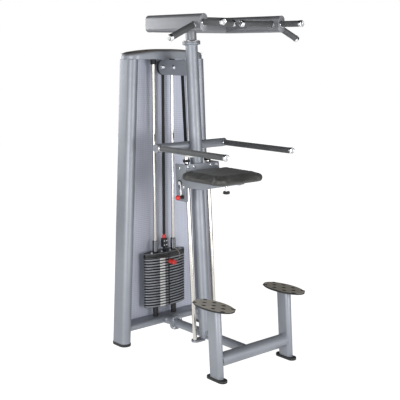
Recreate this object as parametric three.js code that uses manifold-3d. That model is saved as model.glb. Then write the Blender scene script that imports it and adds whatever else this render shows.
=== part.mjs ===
import * as THREE from 'three';
import * as BufferGeometryUtils from 'three/addons/utils/BufferGeometryUtils.js';
import Module from 'manifold-3d';

// An assisted chin and dip machine. Millimetres, x across, y from the user's side (-) to the
// weight tower (+), z up from the floor. The origin is on the floor in the middle of the machine.

const wasm = await Module();
wasm.setup();

const quarter = Math.PI / 2;
const sides = [['left', -1], ['right', 1]];

// Whole machine
const machineHeight = 2250;      // floor to the top of the pull-up arms
const machineDepth = 1144;       // front of the foot platforms to the back of the tower cap
const rakeShare = 0.072;         // how far the column and the rods lean back for each unit of height
const seatGap = 0.3;             // between two pieces that touch
const slideGap = 0.5;            // between a sliding piece and what guides it
const overrun = 6;               // how far a cutter passes the face it cuts
const roundSides = 16;           // sides of a tube
const boltSides = 6;
const boreSides = 10;
const pinSides = 8;
const cornerSteps = 4;           // steps round a plate's corner

// Tubes
const columnDiameter = 80;
const legWidth = 50;             // flat-oval tube of the uprights, across
const legDepth = 106;
const frontTubeDiameter = 88;
const spineDiameter = 60;
const beamDepth = 120;           // flat-oval tube of the rear beam, lying down
const beamHeight = 50;
const armWidth = 52;             // flat-oval tube of the pull-up frame, standing on edge
const armHeight = 105;
const yokeDiameter = 58;

// Base
const legSpacing = 620;          // between the middles of the two uprights
const footLength = 165;
const footWidth = 62;
const footHeight = 18;
const frontTubeHeight = 124;     // middle of the front tube above the floor
const spineHeight = 112;
const beamMiddleHeight = 120;
const platformLength = 350;
const platformWidth = 165;
const platformTop = 478;
const platformThickness = 5;
const platformRimWidth = 7;
const platformRimHeight = 12;
const slotLength = 30;
const slotWidth = 9;
const slotRowPitch = 21;
const slotPitch = 42;
const slotSides = 4;
const slotEdge = 11;             // sheet left between the slots and the rim
const platformSeatThickness = 6;
const platformSeatBorder = 18;   // plate on top of an upright, past the tube
const columnBeforeTower = 458;   // from the column's middle line at the floor to the middle of the tower
const columnBottom = 84;
const flangeSize = 100;
const flangeThickness = 9;
const flangeCorner = 22;
const flangeBoltSpacing = 72;
const stubLength = 62.7;         // of the rear beam's stub, from its flange to the beam
const boltHeadDiameter = 18;
const boltHeadHeight = 7;

// Tower
const postWidth = 80;
const postDepth = 150;
const postTopX = 285;            // middle of a post at its top
const postBottomX = 383;
const postFootHeight = 20;
const postFootBorder = 4;
const capBelowArms = 278;        // from the top of the machine to the underside of the cap
const capMiddleHeight = 67;
const capEndHeight = 38;         // of the cap over its rounded ends
const capBorder = 4;
const panelThickness = 3;
const panelSetIn = 11.5;         // from the back of the posts to the back of the panel
const panelLip = 14;             // folded lower edge of the panel, away from the stack
const panelBottom = 118;         // behind the rear beam

// Stack
const stackRodSpacing = 164;
const stackRodDiameter = 22;
const rodCollarDiameter = 40;
const rodCollarHeight = 36;
const plateLength = 360;
const plateDepth = 110;
const plateThickness = 20;
const plateBevel = 2.2;
const weightSides = 24;
const restingPlateCount = 16;
const pinnedPlateCount = 2;
const plateBore = 26;
const stackBottom = 222;
const bumperDiameter = 40;
const headThickness = 34;
const sleeveDiameter = 38;
const sleeveHeight = 84;
const stemDiameter = 22;
const stemBore = 28;
const stemFootClearance = 12;
const pinDiameter = 10;
const pinHandleDiameter = 36;
const pinHandleLength = 58;
const pinHandleRound = 6;
const pinCollarLength = 12;
const clampWidth = 40;
const clampDepth = 30;
const clampHeight = 66;
const clampCorner = 6;
const clampNeckDiameter = 16;
const clampNeckHeight = 26;
const clampNutDiameter = 26;
const clampNutHeight = 28;
const clampNutTopDiameter = 17;
const beltWidth = 25;
const beltThickness = 3;
const beltEdgeRound = 0.75;
const lanyardDiameter = 3;
const lanyardTieHeight = 18;
const lanyardBow = 36;           // how far it hangs out before the plates
const lanyardEase = 6;           // straight lead at each of its ends
const lanyardLoop = 18;
const lanyardPinReach = 50.67;   // from the plates' front to where it meets the pin's handle
const lanyardSteps = 26;

// Header
const pulleyRadius = 46;
const pulleyFlangeRadius = 51;
const pulleyWidth = 34;
const pulleyFlangeThickness = 3;
const pulleySides = 22;
const pulleyBelowCap = 56;       // from the cap's underside to the pulleys' middle
const pulleySpacing = 114;
const axleDiameter = 15;
const headerPlateGap = 60;       // between the two header plates
const headerPlateThickness = 5;
const headerPlateRadius = 51;
const headerBoltDiameter = 22;
const headerBoltHeight = 6;
const bufferReach = 31;          // from the rear pulley's middle back to the middle of the black buffer
const bufferWall = 6;            // of the buffer, beside the pulley
const bufferBelt = 9;            // from the pulley's flange back to the closed end of its slot

// Pull-up frame
const armSpacing = 654;
const armFrontReach = 510;       // from the middle of the crossbar to an arm's front end
const armRearReach = 28;
const armCapThickness = 5;
const armCapOver = 1;            // how far an arm's end cap stands out round the tube
const collarDiameter = 118;
const collarThickness = 11;
const collarBelowArms = 171;     // from the top of the machine to where the two collar flanges meet
const mastDiameter = 72;
const gripDiameter = 39;
const gripRingDiameter = 44;
const gripRingLength = 9;
const gripCapLength = 20;
const gripCapDiameter = 42;
const gripCapRound = 6;
const forwardGripLength = 178;
const gripStationReach = 57;     // from an arm's front end to the wide and the inner grips
const wideGripReach = 232;       // from the arm's middle to the grip's end
const wideGripAngle = THREE.MathUtils.degToRad(24);
const innerGripEnd = 26;         // from the middle plane to the end of an inner grip

// Dip handles
const dipHeight = 1402;
const dipSpacing = 562;
const yokeBehindColumn = 52;
const yokeEndOver = 22;          // how far the dip tube passes the handles
const dipHandleReach = 672;      // from the dip tube's middle to a handle's end

// Guide rods of the carriage
const guideRodSpacing = 184;
const guideRodDiameter = 28;
const topBracketOver = 43;       // from the top of the carriage to the bracket above it
const bottomBracketHeight = 76;
const bracketThickness = 12;
const bottomBracketDepth = 62;
const topBracketDepth = 104;
const bracketEnd = 24;           // bracket past the middle of a rod
const rodSeatDepth = 6;

// Carriage and knee pad
const carriageWidth = 292;       // over the side plates
const carriagePlateThickness = 6;
const carriageBelowDip = 110;    // from the dip handles down to the top of the carriage
const carriageHeight = 248;
const carriageFrontReach = 59;   // from the column's middle line to the front of the cross plate
const carriageRearReach = 54;
const crossPlateHeight = 96;
const carriageCorner = 12;
const blockInnerX = 64;
const blockDepth = 64;
const blockTopDrop = 20;         // from the top of the carriage to the top of a bearing block
const blockHeight = 145;
const blockWaistShare = 0.42;    // of the block's height that is cut back between its two bearings
const blockWaistDepth = 14;
const anchorTopDrop = 30;      // from the top of the carriage to the top of the belt anchor
const anchorHeight = 66;
const anchorThickness = 8;
const anchorClearance = 4;       // between the column and the belt anchor behind it
const anchorLugWidth = 44;
const anchorLugHeight = 34;
const padLength = 394;
const padWidth = 412;
const padThickness = 57;
const padTopDrop = 38;           // from the top of the carriage to the top of the pad
const padBeforePlate = 7;        // from the cross plate forward to the pad's rear edge
const padFrontCorner = 62;
const padRearCorner = 28;
const padCrown = 12;
const padEdgeRound = 16;
const cushionSides = 24;
const sideShares = [[0.55, 0], [0.12, 0.05], [0, 0.2], [0.06, 0.33], [0.26, 0.37], [0.06, 0.41], [0, 0.6],
  [0.12, 0.78], [0.4, 0.91], [0.75, 0.98], [1, 1]];
const crownShares = [0.85, 0.65, 0.45, 0.25];
const hingeSetBack = 19;         // from the cross plate's front to the hinge
const hingeDrop = 146;           // from the top of the carriage to the hinge
const hingeBoltDiameter = 14;
const hingeHeadDiameter = 24;
const hingeHeadHeight = 7;
const padArmThickness = 6;
const padArmHeight = 46;
const padArmReach = 257;         // from the pad's rear edge to an arm's front tip
const padArmSlope = 45;          // how far the arm's lower edge ends behind its tip
const padTailBelow = 24;         // arm below the plunger's middle
const padTailRadius = 24;
const rightPlateBelow = 22;      // carriage plate on the right, below the hinge
const plungerSetBack = 4;        // from the hinge back to the plunger
const plungerDrop = 70;          // from the hinge down to the plunger
const plungerBodyDiameter = 20;
const plungerBodyLength = 22;
const plungerPinDiameter = 9;
const plungerBallDiameter = 34;
const leverSetBack = 36;         // from the hinge back to the lever's pivot
const leverRise = 20;            // from the hinge up to the lever's pivot
const leverThickness = 6;
const leverHeadRadius = 15;
const leverTipRadius = 7;
const leverReach = 84;
const leverBoltDiameter = 10;
const padKnobSetBack = 28;       // from an arm's front tip to the knob
const padKnobDiameter = 46;
const padKnobThickness = 20;
const padKnobLobes = 6;
const sidesPerLobe = 6;
const padKnobLobeShare = 0.12;
const padKnobStemDiameter = 16;
const padKnobStemLength = 47;
const padTubeDiameter = 34;
const padTubeSpacing = 147;
const leverTiltAngle = THREE.MathUtils.degToRad(10);
const ballClearance = 4;

// Places that follow from the sizes
const towerY = (machineDepth - postDepth) / 2 - capBorder;
const columnFootY = towerY - columnBeforeTower;
const columnY = (z) => columnFootY + rakeShare * z;
const rake = Math.atan(rakeShare);
const rakeUp = new THREE.Vector3(0, Math.sin(rake), Math.cos(rake));
const onColumn = (z, x = 0) => new THREE.Vector3(x, columnY(z), z);

const flangeY = towerY - beamDepth / 2 - stubLength - 2 * flangeThickness - seatGap;
const capUnderside = machineHeight - capBelowArms;
const pulleyHeight = capUnderside - pulleyBelowCap;
const collarHeight = machineHeight - collarBelowArms;
const carriageTop = dipHeight - carriageBelowDip;
const topBracketHeight = carriageTop + topBracketOver;
const carriageBottom = carriageTop - carriageHeight;
const carriageRearY = columnY(carriageTop) + carriageRearReach;
const crossPlateFrontY = columnY(carriageTop) - carriageFrontReach;
const blockTop = carriageTop - blockTopDrop;
const blockBottom = blockTop - blockHeight;
const anchorTop = carriageTop - anchorTopDrop;
const anchorBottom = anchorTop - anchorHeight;
const hingeY = crossPlateFrontY + hingeSetBack;
const hingeHeight = carriageTop - hingeDrop;
const plungerY = hingeY + plungerSetBack;
const plungerHeight = hingeHeight - plungerDrop;
const leverY = hingeY + leverSetBack;
const leverHeight = hingeHeight + leverRise;
const padTop = carriageTop - padTopDrop;
const padRearY = crossPlateFrontY - padBeforePlate;
const padArmFrontTopY = padRearY - padArmReach;
const padArmFrontBottomY = padArmFrontTopY + padArmSlope;
const padTailBottom = plungerHeight - padTailBelow;
const padKnobY = padArmFrontTopY + padKnobSetBack;
const padRearTubeY = padKnobY + padTubeSpacing;

const paint = new THREE.MeshStandardMaterial({ color: 0x9a9ea6, roughness: 0.38, metalness: 0.45 });
const darkPaint = new THREE.MeshStandardMaterial({ color: 0x74767a, roughness: 0.4, metalness: 0.45 });
const chrome = new THREE.MeshStandardMaterial({ color: 0xdedfe2, roughness: 0.12, metalness: 1 });
const gripRubber = new THREE.MeshStandardMaterial({ color: 0x4c4e50, roughness: 0.8, metalness: 0 });
const blackRubber = new THREE.MeshStandardMaterial({ color: 0x1b1b1c, roughness: 0.75, metalness: 0 });
const blackSteel = new THREE.MeshStandardMaterial({ color: 0x222326, roughness: 0.35, metalness: 0.5 });
const panelPaint = new THREE.MeshStandardMaterial({ color: 0x8d92a0, roughness: 0.55, metalness: 0.3 });
const vinyl = new THREE.MeshStandardMaterial({ color: 0x3a3a38, roughness: 0.6, metalness: 0 });
const redPlastic = new THREE.MeshStandardMaterial({ color: 0xd8332f, roughness: 0.4, metalness: 0 });
const whitePlastic = new THREE.MeshStandardMaterial({ color: 0xd9d9d6, roughness: 0.5, metalness: 0 });
const beltBlack = new THREE.MeshStandardMaterial({ color: 0x141415, roughness: 0.7, metalness: 0 });

// Solids: a closed geometry becomes a solid to be joined or cut, and comes back as a geometry

function toSolid(geometry) {
  const bare = geometry.clone();
  bare.deleteAttribute('normal');
  bare.deleteAttribute('uv');
  const merged = BufferGeometryUtils.mergeVertices(bare, 1e-3);
  const corners = merged.index.array;
  const kept = [];
  for (let index = 0; index < corners.length; index += 3) {
    const [a, b, c] = corners.slice(index, index + 3);
    if (a !== b && b !== c && c !== a) {
      kept.push(a, b, c);
    }
  }
  const mesh = new wasm.Mesh({
    numProp: 3,
    vertProperties: new Float32Array(merged.attributes.position.array),
    triVerts: new Uint32Array(kept),
  });
  return new wasm.Manifold(mesh);
}

function toGeometry(solid) {
  const mesh = solid.getMesh();
  const geometry = new THREE.BufferGeometry();
  geometry.setAttribute('position', new THREE.BufferAttribute(mesh.vertProperties, 3));
  geometry.setIndex(new THREE.BufferAttribute(mesh.triVerts, 1));
  return BufferGeometryUtils.toCreasedNormals(geometry, quarter / 3);
}

function join(...geometries) {
  return toGeometry(geometries.map(toSolid).reduce((whole, next) => whole.add(next)));
}

function cut(geometry, ...cutters) {
  return toGeometry(cutters.map(toSolid).reduce((whole, next) => whole.subtract(next), toSolid(geometry)));
}

function overlap(first, second) {
  return toGeometry(toSolid(first).intersect(toSolid(second)));
}

function level(geometry, low, high) {
  // trims a leaning tube to two level ends
  const slab = new THREE.BoxGeometry(2 * machineHeight, 2 * machineHeight, high - low);
  return overlap(geometry, slab.translate(0, 0, (low + high) / 2));
}

// Sections, each with its number of sides round a full turn

function arc(x, y, width, depth, from, to, sides) {
  const steps = Math.max(1, Math.round(sides * (to - from) / (2 * Math.PI)));
  const points = [];
  for (let step = 0; step <= steps; step += 1) {
    const angle = from + (to - from) * step / steps;
    points.push(new THREE.Vector2(x + width / 2 * Math.cos(angle), y + depth / 2 * Math.sin(angle)));
  }
  return points;
}

function ellipse(width, depth, sides = 2 * roundSides) {
  return new THREE.Shape(arc(0, 0, width, depth, 0, 2 * Math.PI, sides).slice(1));
}

function disc(diameter, sides = roundSides) {
  return ellipse(diameter, diameter, sides);
}

function oval(width, depth, sides = roundSides) {
  // flat-oval tube section: two half rounds and two flats
  const round = Math.min(width, depth);
  const x = (width - round) / 2;
  const y = (depth - round) / 2;
  if (depth > width) {
    return new THREE.Shape([
      ...arc(0, y, round, round, 0, 2 * quarter, sides),
      ...arc(0, -y, round, round, 2 * quarter, 4 * quarter, sides),
    ]);
  }
  return new THREE.Shape([
    ...arc(x, 0, round, round, -quarter, quarter, sides),
    ...arc(-x, 0, round, round, quarter, 3 * quarter, sides),
  ]);
}

function roundedRectangle(width, depth, radius, sides = roundSides) {
  const x = width / 2 - radius;
  const y = depth / 2 - radius;
  return new THREE.Shape([
    ...arc(x, y, 2 * radius, 2 * radius, 0, quarter, sides),
    ...arc(-x, y, 2 * radius, 2 * radius, quarter, 2 * quarter, sides),
    ...arc(-x, -y, 2 * radius, 2 * radius, 2 * quarter, 3 * quarter, sides),
    ...arc(x, -y, 2 * radius, 2 * radius, 3 * quarter, 4 * quarter, sides),
  ]);
}

function polygon(points) {
  return new THREE.Shape(points.map(([x, y]) => new THREE.Vector2(x, y)));
}

// Forms

function prism(shape, length) {
  return new THREE.ExtrudeGeometry(shape, { depth: length, bevelEnabled: false, curveSegments: cornerSteps });
}

function between(geometry, from, to, across = new THREE.Vector3(1, 0, 0)) {
  // takes a form built along z from the origin and lays it from one point towards another
  const along = new THREE.Vector3().subVectors(to, from).normalize();
  const upright = new THREE.Vector3().crossVectors(along, across).normalize();
  const sideways = new THREE.Vector3().crossVectors(upright, along);
  const matrix = new THREE.Matrix4().makeBasis(sideways, upright, along).setPosition(from);
  return geometry.applyMatrix4(matrix);
}

function tube(shape, from, to, across) {
  return between(prism(shape, from.distanceTo(to)), from, to, across);
}

function sideProfile(shape, x, thickness) {
  // an outline drawn in y and z, extruded along x from x to x + thickness
  const matrix = new THREE.Matrix4().makeBasis(
    new THREE.Vector3(0, 1, 0), new THREE.Vector3(0, 0, 1), new THREE.Vector3(1, 0, 0));
  return prism(shape, thickness).applyMatrix4(matrix.setPosition(x, 0, 0));
}

function frontProfile(shape, y, thickness) {
  // an outline drawn in x and z, extruded along y from y to y + thickness
  return prism(shape, thickness).rotateX(quarter).translate(0, y + thickness, 0);
}

function turned(profile, sides = roundSides) {
  // a round piece about the z axis, from radius and height pairs that start and end on the axis
  const points = profile.map(([radius, height]) => new THREE.Vector2(radius, height));
  return new THREE.LatheGeometry(points, sides).rotateX(quarter);
}

const group = new THREE.Group();

function add(name, geometry, material, parent = group) {
  const mesh = new THREE.Mesh(geometry, material);
  mesh.name = name;
  parent.add(mesh);
  return mesh;
}

// Base: two raked uprights with their feet and platforms, the front tube, the spine and the beam

const platformMiddleY = (platformLength - machineDepth) / 2;
const platformSeat = platformTop - platformThickness;
const legTop = platformSeat - seatGap;
const legTopY = platformMiddleY;
const legY = (z) => legTopY - rakeShare * (legTop - z);
const legX = legSpacing / 2;
const frontTubeY = legY(frontTubeHeight);

function leg(side, grow = 0) {
  const from = new THREE.Vector3(side * legX, legY(-footHeight), -footHeight);
  const to = new THREE.Vector3(side * legX, legY(legTop + footHeight), legTop + footHeight);
  const whole = tube(oval(legWidth + 2 * grow, legDepth + 2 * grow), from, to);
  return level(whole, footHeight + seatGap, legTop);
}

function perforatedSheet() {
  const outline = ellipse(platformWidth - platformRimWidth, platformLength - platformRimWidth);
  const halfWidth = platformWidth / 2 - platformRimWidth;
  const halfLength = platformLength / 2 - platformRimWidth;
  const rows = Math.floor(halfLength / slotRowPitch);
  for (let row = -rows; row <= rows; row += 1) {
    const y = row * slotRowPitch;
    const shift = (Math.abs(row) % 2) * slotPitch / 2;
    for (let column = -2; column <= 2; column += 1) {
      const x = column * slotPitch + shift;
      const reachX = (Math.abs(x) + slotLength / 2 + slotEdge) / halfWidth;
      const reachY = (Math.abs(y) + slotWidth / 2 + slotEdge) / halfLength;
      if (reachX * reachX + reachY * reachY < 1) {
        const slot = oval(slotLength, slotWidth, slotSides).getPoints();
        outline.holes.push(new THREE.Path(slot.map((point) => new THREE.Vector2(point.x + x, point.y + y))));
      }
    }
  }
  return outline;
}

function platform() {
  const sheet = prism(perforatedSheet(), platformThickness).translate(0, 0, -platformThickness);
  const ring = ellipse(platformWidth, platformLength);
  ring.holes.push(ellipse(platformWidth - 2 * platformRimWidth, platformLength - 2 * platformRimWidth));
  const rim = prism(ring, platformRimHeight).translate(0, 0, -platformRimHeight);
  return join(rim, sheet);
}

for (const [name, side] of sides) {
  const foot = prism(oval(footWidth, footLength), footHeight);
  add(`front_foot_${name}`, foot, blackRubber).position.set(side * legX, legY(footHeight), 0);
  const seatOutline = oval(legWidth + 2 * platformSeatBorder, legDepth + 2 * platformSeatBorder);
  const seat = prism(seatOutline, platformSeatThickness);
  seat.translate(side * legX, legTopY, legTop - platformSeatThickness);
  add(`front_upright_${name}`, join(leg(side), seat), paint);
  add(`platform_${name}`, platform(), darkPaint).position.set(side * legX, platformMiddleY, platformTop);
}

const frontTubeEnds = [-legX, legX].map((x) => new THREE.Vector3(x, frontTubeY, frontTubeHeight));
const forward = new THREE.Vector3(0, 1, 0);
const frontTube = (grow = 0) => tube(disc(frontTubeDiameter + 2 * grow), ...frontTubeEnds, forward);
add('front_cross_tube', cut(frontTube(), leg(-1, seatGap), leg(1, seatGap)), paint);

const collarMiddle = onColumn(collarHeight);
const columnTop = collarMiddle.clone().addScaledVector(rakeUp, -seatGap / 2);
const column = (grow = 0) => tube(disc(columnDiameter + 2 * grow), onColumn(columnBottom - grow), columnTop);
const columnCollarFoot = columnTop.clone().addScaledVector(rakeUp, -collarThickness);
const columnCollar = tube(disc(collarDiameter), columnCollarFoot, columnTop);
add('column', join(column(), columnCollar), paint);

function spine(fromY, toY) {
  const from = new THREE.Vector3(0, fromY, spineHeight);
  return tube(disc(spineDiameter), from, new THREE.Vector3(0, toY, spineHeight));
}

function flange(y, boltSide) {
  const outline = roundedRectangle(flangeSize, flangeSize, flangeCorner);
  const face = frontProfile(outline, y, flangeThickness).translate(0, 0, spineHeight);
  const heads = [];
  for (const x of [-flangeBoltSpacing / 2, flangeBoltSpacing / 2]) {
    for (const z of [-flangeBoltSpacing / 2, flangeBoltSpacing / 2]) {
      const faceY = boltSide < 0 ? y - boltHeadHeight : y + flangeThickness;
      const head = frontProfile(disc(boltHeadDiameter, boltSides), faceY, boltHeadHeight);
      heads.push(head.translate(x, 0, spineHeight + z));
    }
  }
  return join(face, ...heads);
}

const columnCope = tube(disc(columnDiameter + 2 * seatGap), onColumn(0), onColumn(2 * spineHeight));
add('spine_front', cut(spine(frontTubeY, columnY(spineHeight)), frontTube(seatGap), columnCope), paint);
const spineRear = cut(spine(columnY(spineHeight), flangeY + flangeThickness / 2), columnCope);
add('spine_rear', join(spineRear, flange(flangeY, -1)), paint);

// Tower: two splayed posts, the arched cap, the panel behind the stack

const postX = (z) => postBottomX + (postTopX - postBottomX) * z / capUnderside;

function post(side, grow = 0) {
  const from = new THREE.Vector3(side * postX(-postFootHeight), towerY, -postFootHeight);
  const postTop = capUnderside + postFootHeight;
  const to = new THREE.Vector3(side * postX(postTop), towerY, postTop);
  const whole = tube(oval(postWidth + 2 * grow, postDepth + 2 * grow), from, to);
  return level(whole, postFootHeight + seatGap, capUnderside - seatGap);
}

for (const [name, side] of sides) {
  const footOutline = oval(postWidth + 2 * postFootBorder, postDepth + postFootBorder);
  const foot = add(`tower_foot_${name}`, prism(footOutline, postFootHeight), blackRubber);
  foot.position.set(side * postX(postFootHeight), towerY, 0);
  add(`tower_post_${name}`, post(side), paint);
}

const beamEnds = [-postX(beamMiddleHeight), postX(beamMiddleHeight)];
const beamPoints = beamEnds.map((x) => new THREE.Vector3(x, towerY, beamMiddleHeight));
const beam = tube(oval(beamDepth, beamHeight), ...beamPoints, forward);
const stubFlangeY = flangeY + flangeThickness + seatGap;
const rearBeam = join(beam, spine(stubFlangeY + flangeThickness / 2, towerY), flange(stubFlangeY, 1));
add('rear_beam', cut(rearBeam, post(-1, seatGap), post(1, seatGap)), paint);

const capPlan = oval(2 * postTopX + postWidth + 2 * capBorder, postDepth + 2 * capBorder);
const capHalfLength = postTopX + postWidth / 2 + capBorder;
const capMiddleTop = capUnderside + capMiddleHeight;
const capRise = capMiddleHeight - capEndHeight;
const archRadius = (capHalfLength * capHalfLength + capRise * capRise) / (2 * capRise);
const archAngle = Math.asin(capHalfLength / archRadius);
const archShape = new THREE.Shape();
archShape.moveTo(-capHalfLength - overrun, capUnderside);
archShape.lineTo(capHalfLength + overrun, capUnderside);
archShape.absarc(0, capMiddleTop - archRadius, archRadius, quarter - archAngle, quarter + archAngle);
const capBody = prism(capPlan, capMiddleHeight).translate(0, 0, capUnderside);
const arch = frontProfile(archShape, -postDepth, 2 * postDepth);
add('tower_cap', overlap(capBody, arch), darkPaint).position.y = towerY;

const panelRearY = towerY + postDepth / 2 - panelSetIn;
const panelHalf = (z) => postX(z);
const panelTop = capUnderside - seatGap;
const panelOutline = polygon([
  [-panelHalf(panelBottom), panelBottom],
  [panelHalf(panelBottom), panelBottom],
  [panelHalf(panelTop), panelTop],
  [-panelHalf(panelTop), panelTop],
]);
const panelSheet = frontProfile(panelOutline, panelRearY - panelThickness, panelThickness);
const lipBar = new THREE.BoxGeometry(2 * panelHalf(panelBottom), panelLip, panelThickness);
lipBar.translate(0, panelRearY - panelThickness + panelLip / 2, panelBottom + panelThickness / 2);
add('rear_panel', cut(join(panelSheet, lipBar), post(-1, seatGap), post(1, seatGap)), panelPaint);

// Stack: two rods, the resting plates on their bumpers, the pinned plates and the head plate

const stackY = towerY;
const rodX = stackRodSpacing / 2;
const beamTop = beamMiddleHeight + beamHeight / 2;
const restingTop = stackBottom + restingPlateCount * plateThickness;
const pinnedTop = restingTop + seatGap + pinnedPlateCount * plateThickness;
const headBottom = pinnedTop + seatGap;
const headTop = headBottom + headThickness;
const pinHeight = restingTop + seatGap + plateThickness / 2;
const plateFrontY = stackY - plateDepth / 2;

for (const [name, side] of sides) {
  const low = beamTop + seatGap;
  const high = capUnderside - seatGap;
  const radius = stackRodDiameter / 2;
  const collar = rodCollarDiameter / 2;
  const collarLow = high - rodCollarHeight;
  const rodProfile = [[0, low], [radius, low], [radius, collarLow], [collar, collarLow], [collar, high], [0, high]];
  const rod = turned(rodProfile);
  add(`stack_rod_${name}`, rod, chrome).position.set(side * rodX, stackY, 0);
  const bumper = prism(disc(bumperDiameter), stackBottom - beamTop - 2 * seatGap);
  const bore = prism(disc(stackRodDiameter + 2 * seatGap), stackBottom);
  const sleeve = cut(bumper, bore.translate(0, 0, -overrun));
  add(`stack_bumper_${name}`, sleeve, blackRubber).position.set(side * rodX, stackY, beamTop + seatGap);
}

function weightPlates(count) {
  const stack = [];
  for (let index = 0; index < count; index += 1) {
    const outline = ellipse(plateLength - 2 * plateBevel, plateDepth - 2 * plateBevel, weightSides);
    const weight = new THREE.ExtrudeGeometry(outline, {
      depth: plateThickness - 2 * plateBevel,
      bevelThickness: plateBevel,
      bevelSize: plateBevel,
      bevelSegments: 1,
    });
    stack.push(weight.translate(0, 0, index * plateThickness + plateBevel));
  }
  const height = count * plateThickness + 2 * overrun;
  const bores = [[-rodX, plateBore], [0, stemBore], [rodX, plateBore]].map(([x, diameter]) => {
    return prism(disc(diameter, boreSides), height).translate(x, 0, -overrun);
  });
  const pinHoles = [];
  for (let index = 0; index < count; index += 1) {
    const hole = frontProfile(disc(pinDiameter + 2 * slideGap, pinSides), -plateDepth, plateDepth);
    pinHoles.push(hole.translate(0, 0, (index + 1 / 2) * plateThickness));
  }
  return cut(join(...stack), ...bores, ...pinHoles);
}

const restingMesh = add('resting_weight_plates', weightPlates(restingPlateCount), blackSteel);
restingMesh.position.set(0, stackY, stackBottom);
const pinnedMesh = add('pinned_weight_plates', weightPlates(pinnedPlateCount), blackSteel);
pinnedMesh.position.set(0, stackY, restingTop + seatGap);

function headPlate() {
  const body = prism(ellipse(plateLength, plateDepth, weightSides), headThickness);
  const sleeves = [-rodX, rodX].map((x) => {
    return prism(disc(sleeveDiameter), headThickness / 2 + sleeveHeight).translate(x, 0, headThickness / 2);
  });
  const stemLength = headBottom - stackBottom - stemFootClearance + headThickness / 2;
  const stem = prism(disc(stemDiameter, boreSides), stemLength);
  stem.translate(0, 0, headThickness / 2 - stemLength);
  const neck = prism(disc(clampNeckDiameter, boreSides), headThickness + clampNeckHeight);
  const block = prism(roundedRectangle(clampWidth, clampDepth, clampCorner), clampHeight);
  const nut = turned([[0, 0], [clampNutDiameter / 2, 0], [clampNutDiameter / 2, clampNutHeight / 2],
    [clampNutTopDiameter / 2, clampNutHeight], [0, clampNutHeight]]).translate(0, 0, clampHeight);
  const clamp = join(block, nut).translate(0, 0, headThickness + clampNeckHeight);
  const bores = [-rodX, rodX].map((x) => {
    const bore = prism(disc(stackRodDiameter + 2 * slideGap), headThickness + sleeveHeight + 2 * overrun);
    return bore.translate(x, 0, -overrun);
  });
  const pinHoles = [];
  for (let index = 1; index < restingPlateCount + pinnedPlateCount; index += 1) {
    const z = stackBottom - headBottom + (index + 1 / 2) * plateThickness;
    const hole = frontProfile(disc(pinDiameter + 2 * slideGap, pinSides), -stemDiameter, 2 * stemDiameter);
    pinHoles.push(hole.translate(0, 0, z + (index >= restingPlateCount ? seatGap : 0)));
  }
  return cut(join(body, ...sleeves, stem, neck, clamp), ...bores, ...pinHoles);
}

add('head_plate', headPlate(), blackSteel).position.set(0, stackY, headBottom);

const pinShaftLength = plateDepth / 2 + stemDiameter / 2;
const pinRadius = pinDiameter / 2;
const handleRadius = pinHandleDiameter / 2;
const selectorPin = turned([
  [0, -pinHandleLength - pinCollarLength],
  [handleRadius - pinHandleRound, -pinHandleLength - pinCollarLength],
  [handleRadius, -pinHandleLength - pinCollarLength + pinHandleRound],
  [handleRadius, -pinCollarLength - pinHandleRound],
  [handleRadius - pinHandleRound, -pinCollarLength],
  [pinDiameter, -pinCollarLength],
  [pinDiameter, -seatGap],
  [pinRadius, -seatGap],
  [pinRadius, pinShaftLength],
  [0, pinShaftLength],
], boreSides);
const pinMesh = add('selector_pin', selectorPin.rotateX(-quarter), redPlastic);
pinMesh.position.set(0, plateFrontY, pinHeight);

// Header: housing from the column to under the cap, two pulleys and the flat belt

const beltRadius = pulleyRadius + seatGap;
const rearPulleyY = stackY - beltRadius - beltThickness / 2;
const frontPulleyY = rearPulleyY - pulleySpacing;
const headerHeight = 2 * headerPlateRadius;

function headerPlate(side) {
  const outline = new THREE.Shape();
  outline.moveTo(columnY(pulleyHeight), pulleyHeight - headerPlateRadius);
  outline.absarc(rearPulleyY, pulleyHeight, headerPlateRadius, -quarter, quarter);
  outline.lineTo(columnY(pulleyHeight), pulleyHeight + headerPlateRadius);
  const inside = side * headerPlateGap / 2;
  return sideProfile(outline, side < 0 ? inside - headerPlateThickness : inside, headerPlateThickness);
}

function crossPin(y, z, diameter, length, sides = roundSides) {
  return sideProfile(disc(diameter, sides), -length / 2, length).translate(0, y, z);
}

const headerInside = headerPlateGap + headerPlateThickness;
const boltLength = headerPlateGap + 2 * headerPlateThickness + 2 * headerBoltHeight;
const axles = [rearPulleyY, frontPulleyY].flatMap((y) => [
  crossPin(y, pulleyHeight, axleDiameter, headerInside),
  crossPin(y, pulleyHeight, headerBoltDiameter, boltLength, boltSides),
]);
const axleGap = (y) => crossPin(y, pulleyHeight, 2 * headerBoltDiameter, headerPlateGap);
const axleBores = [rearPulleyY, frontPulleyY].map((y) => {
  return cut(axleGap(y), crossPin(y, pulleyHeight, axleDiameter, boltLength));
});
const webWidth = headerPlateGap + headerPlateThickness;
const webLength = frontPulleyY - pulleyFlangeRadius - overrun - columnY(pulleyHeight);
const web = new THREE.BoxGeometry(webWidth, webLength, headerHeight - 2 * headerPlateThickness);
web.translate(0, columnY(pulleyHeight) + webLength / 2, pulleyHeight);
const headerBody = cut(join(headerPlate(-1), headerPlate(1), ...axles), ...axleBores);
add('header_housing', cut(join(headerBody, web), column(seatGap)), paint);

function pulley() {
  const half = pulleyWidth / 2;
  const inner = half - pulleyFlangeThickness;
  const bore = axleDiameter / 2 + seatGap;
  const points = [
    [bore, -half],
    [pulleyFlangeRadius, -half],
    [pulleyFlangeRadius, -inner],
    [pulleyRadius, -inner],
    [pulleyRadius, inner],
    [pulleyFlangeRadius, inner],
    [pulleyFlangeRadius, half],
    [bore, half],
    [bore, -half],
  ].map(([radius, height]) => new THREE.Vector2(radius, height));
  return new THREE.LatheGeometry(points, pulleySides).rotateZ(-quarter);
}

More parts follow.
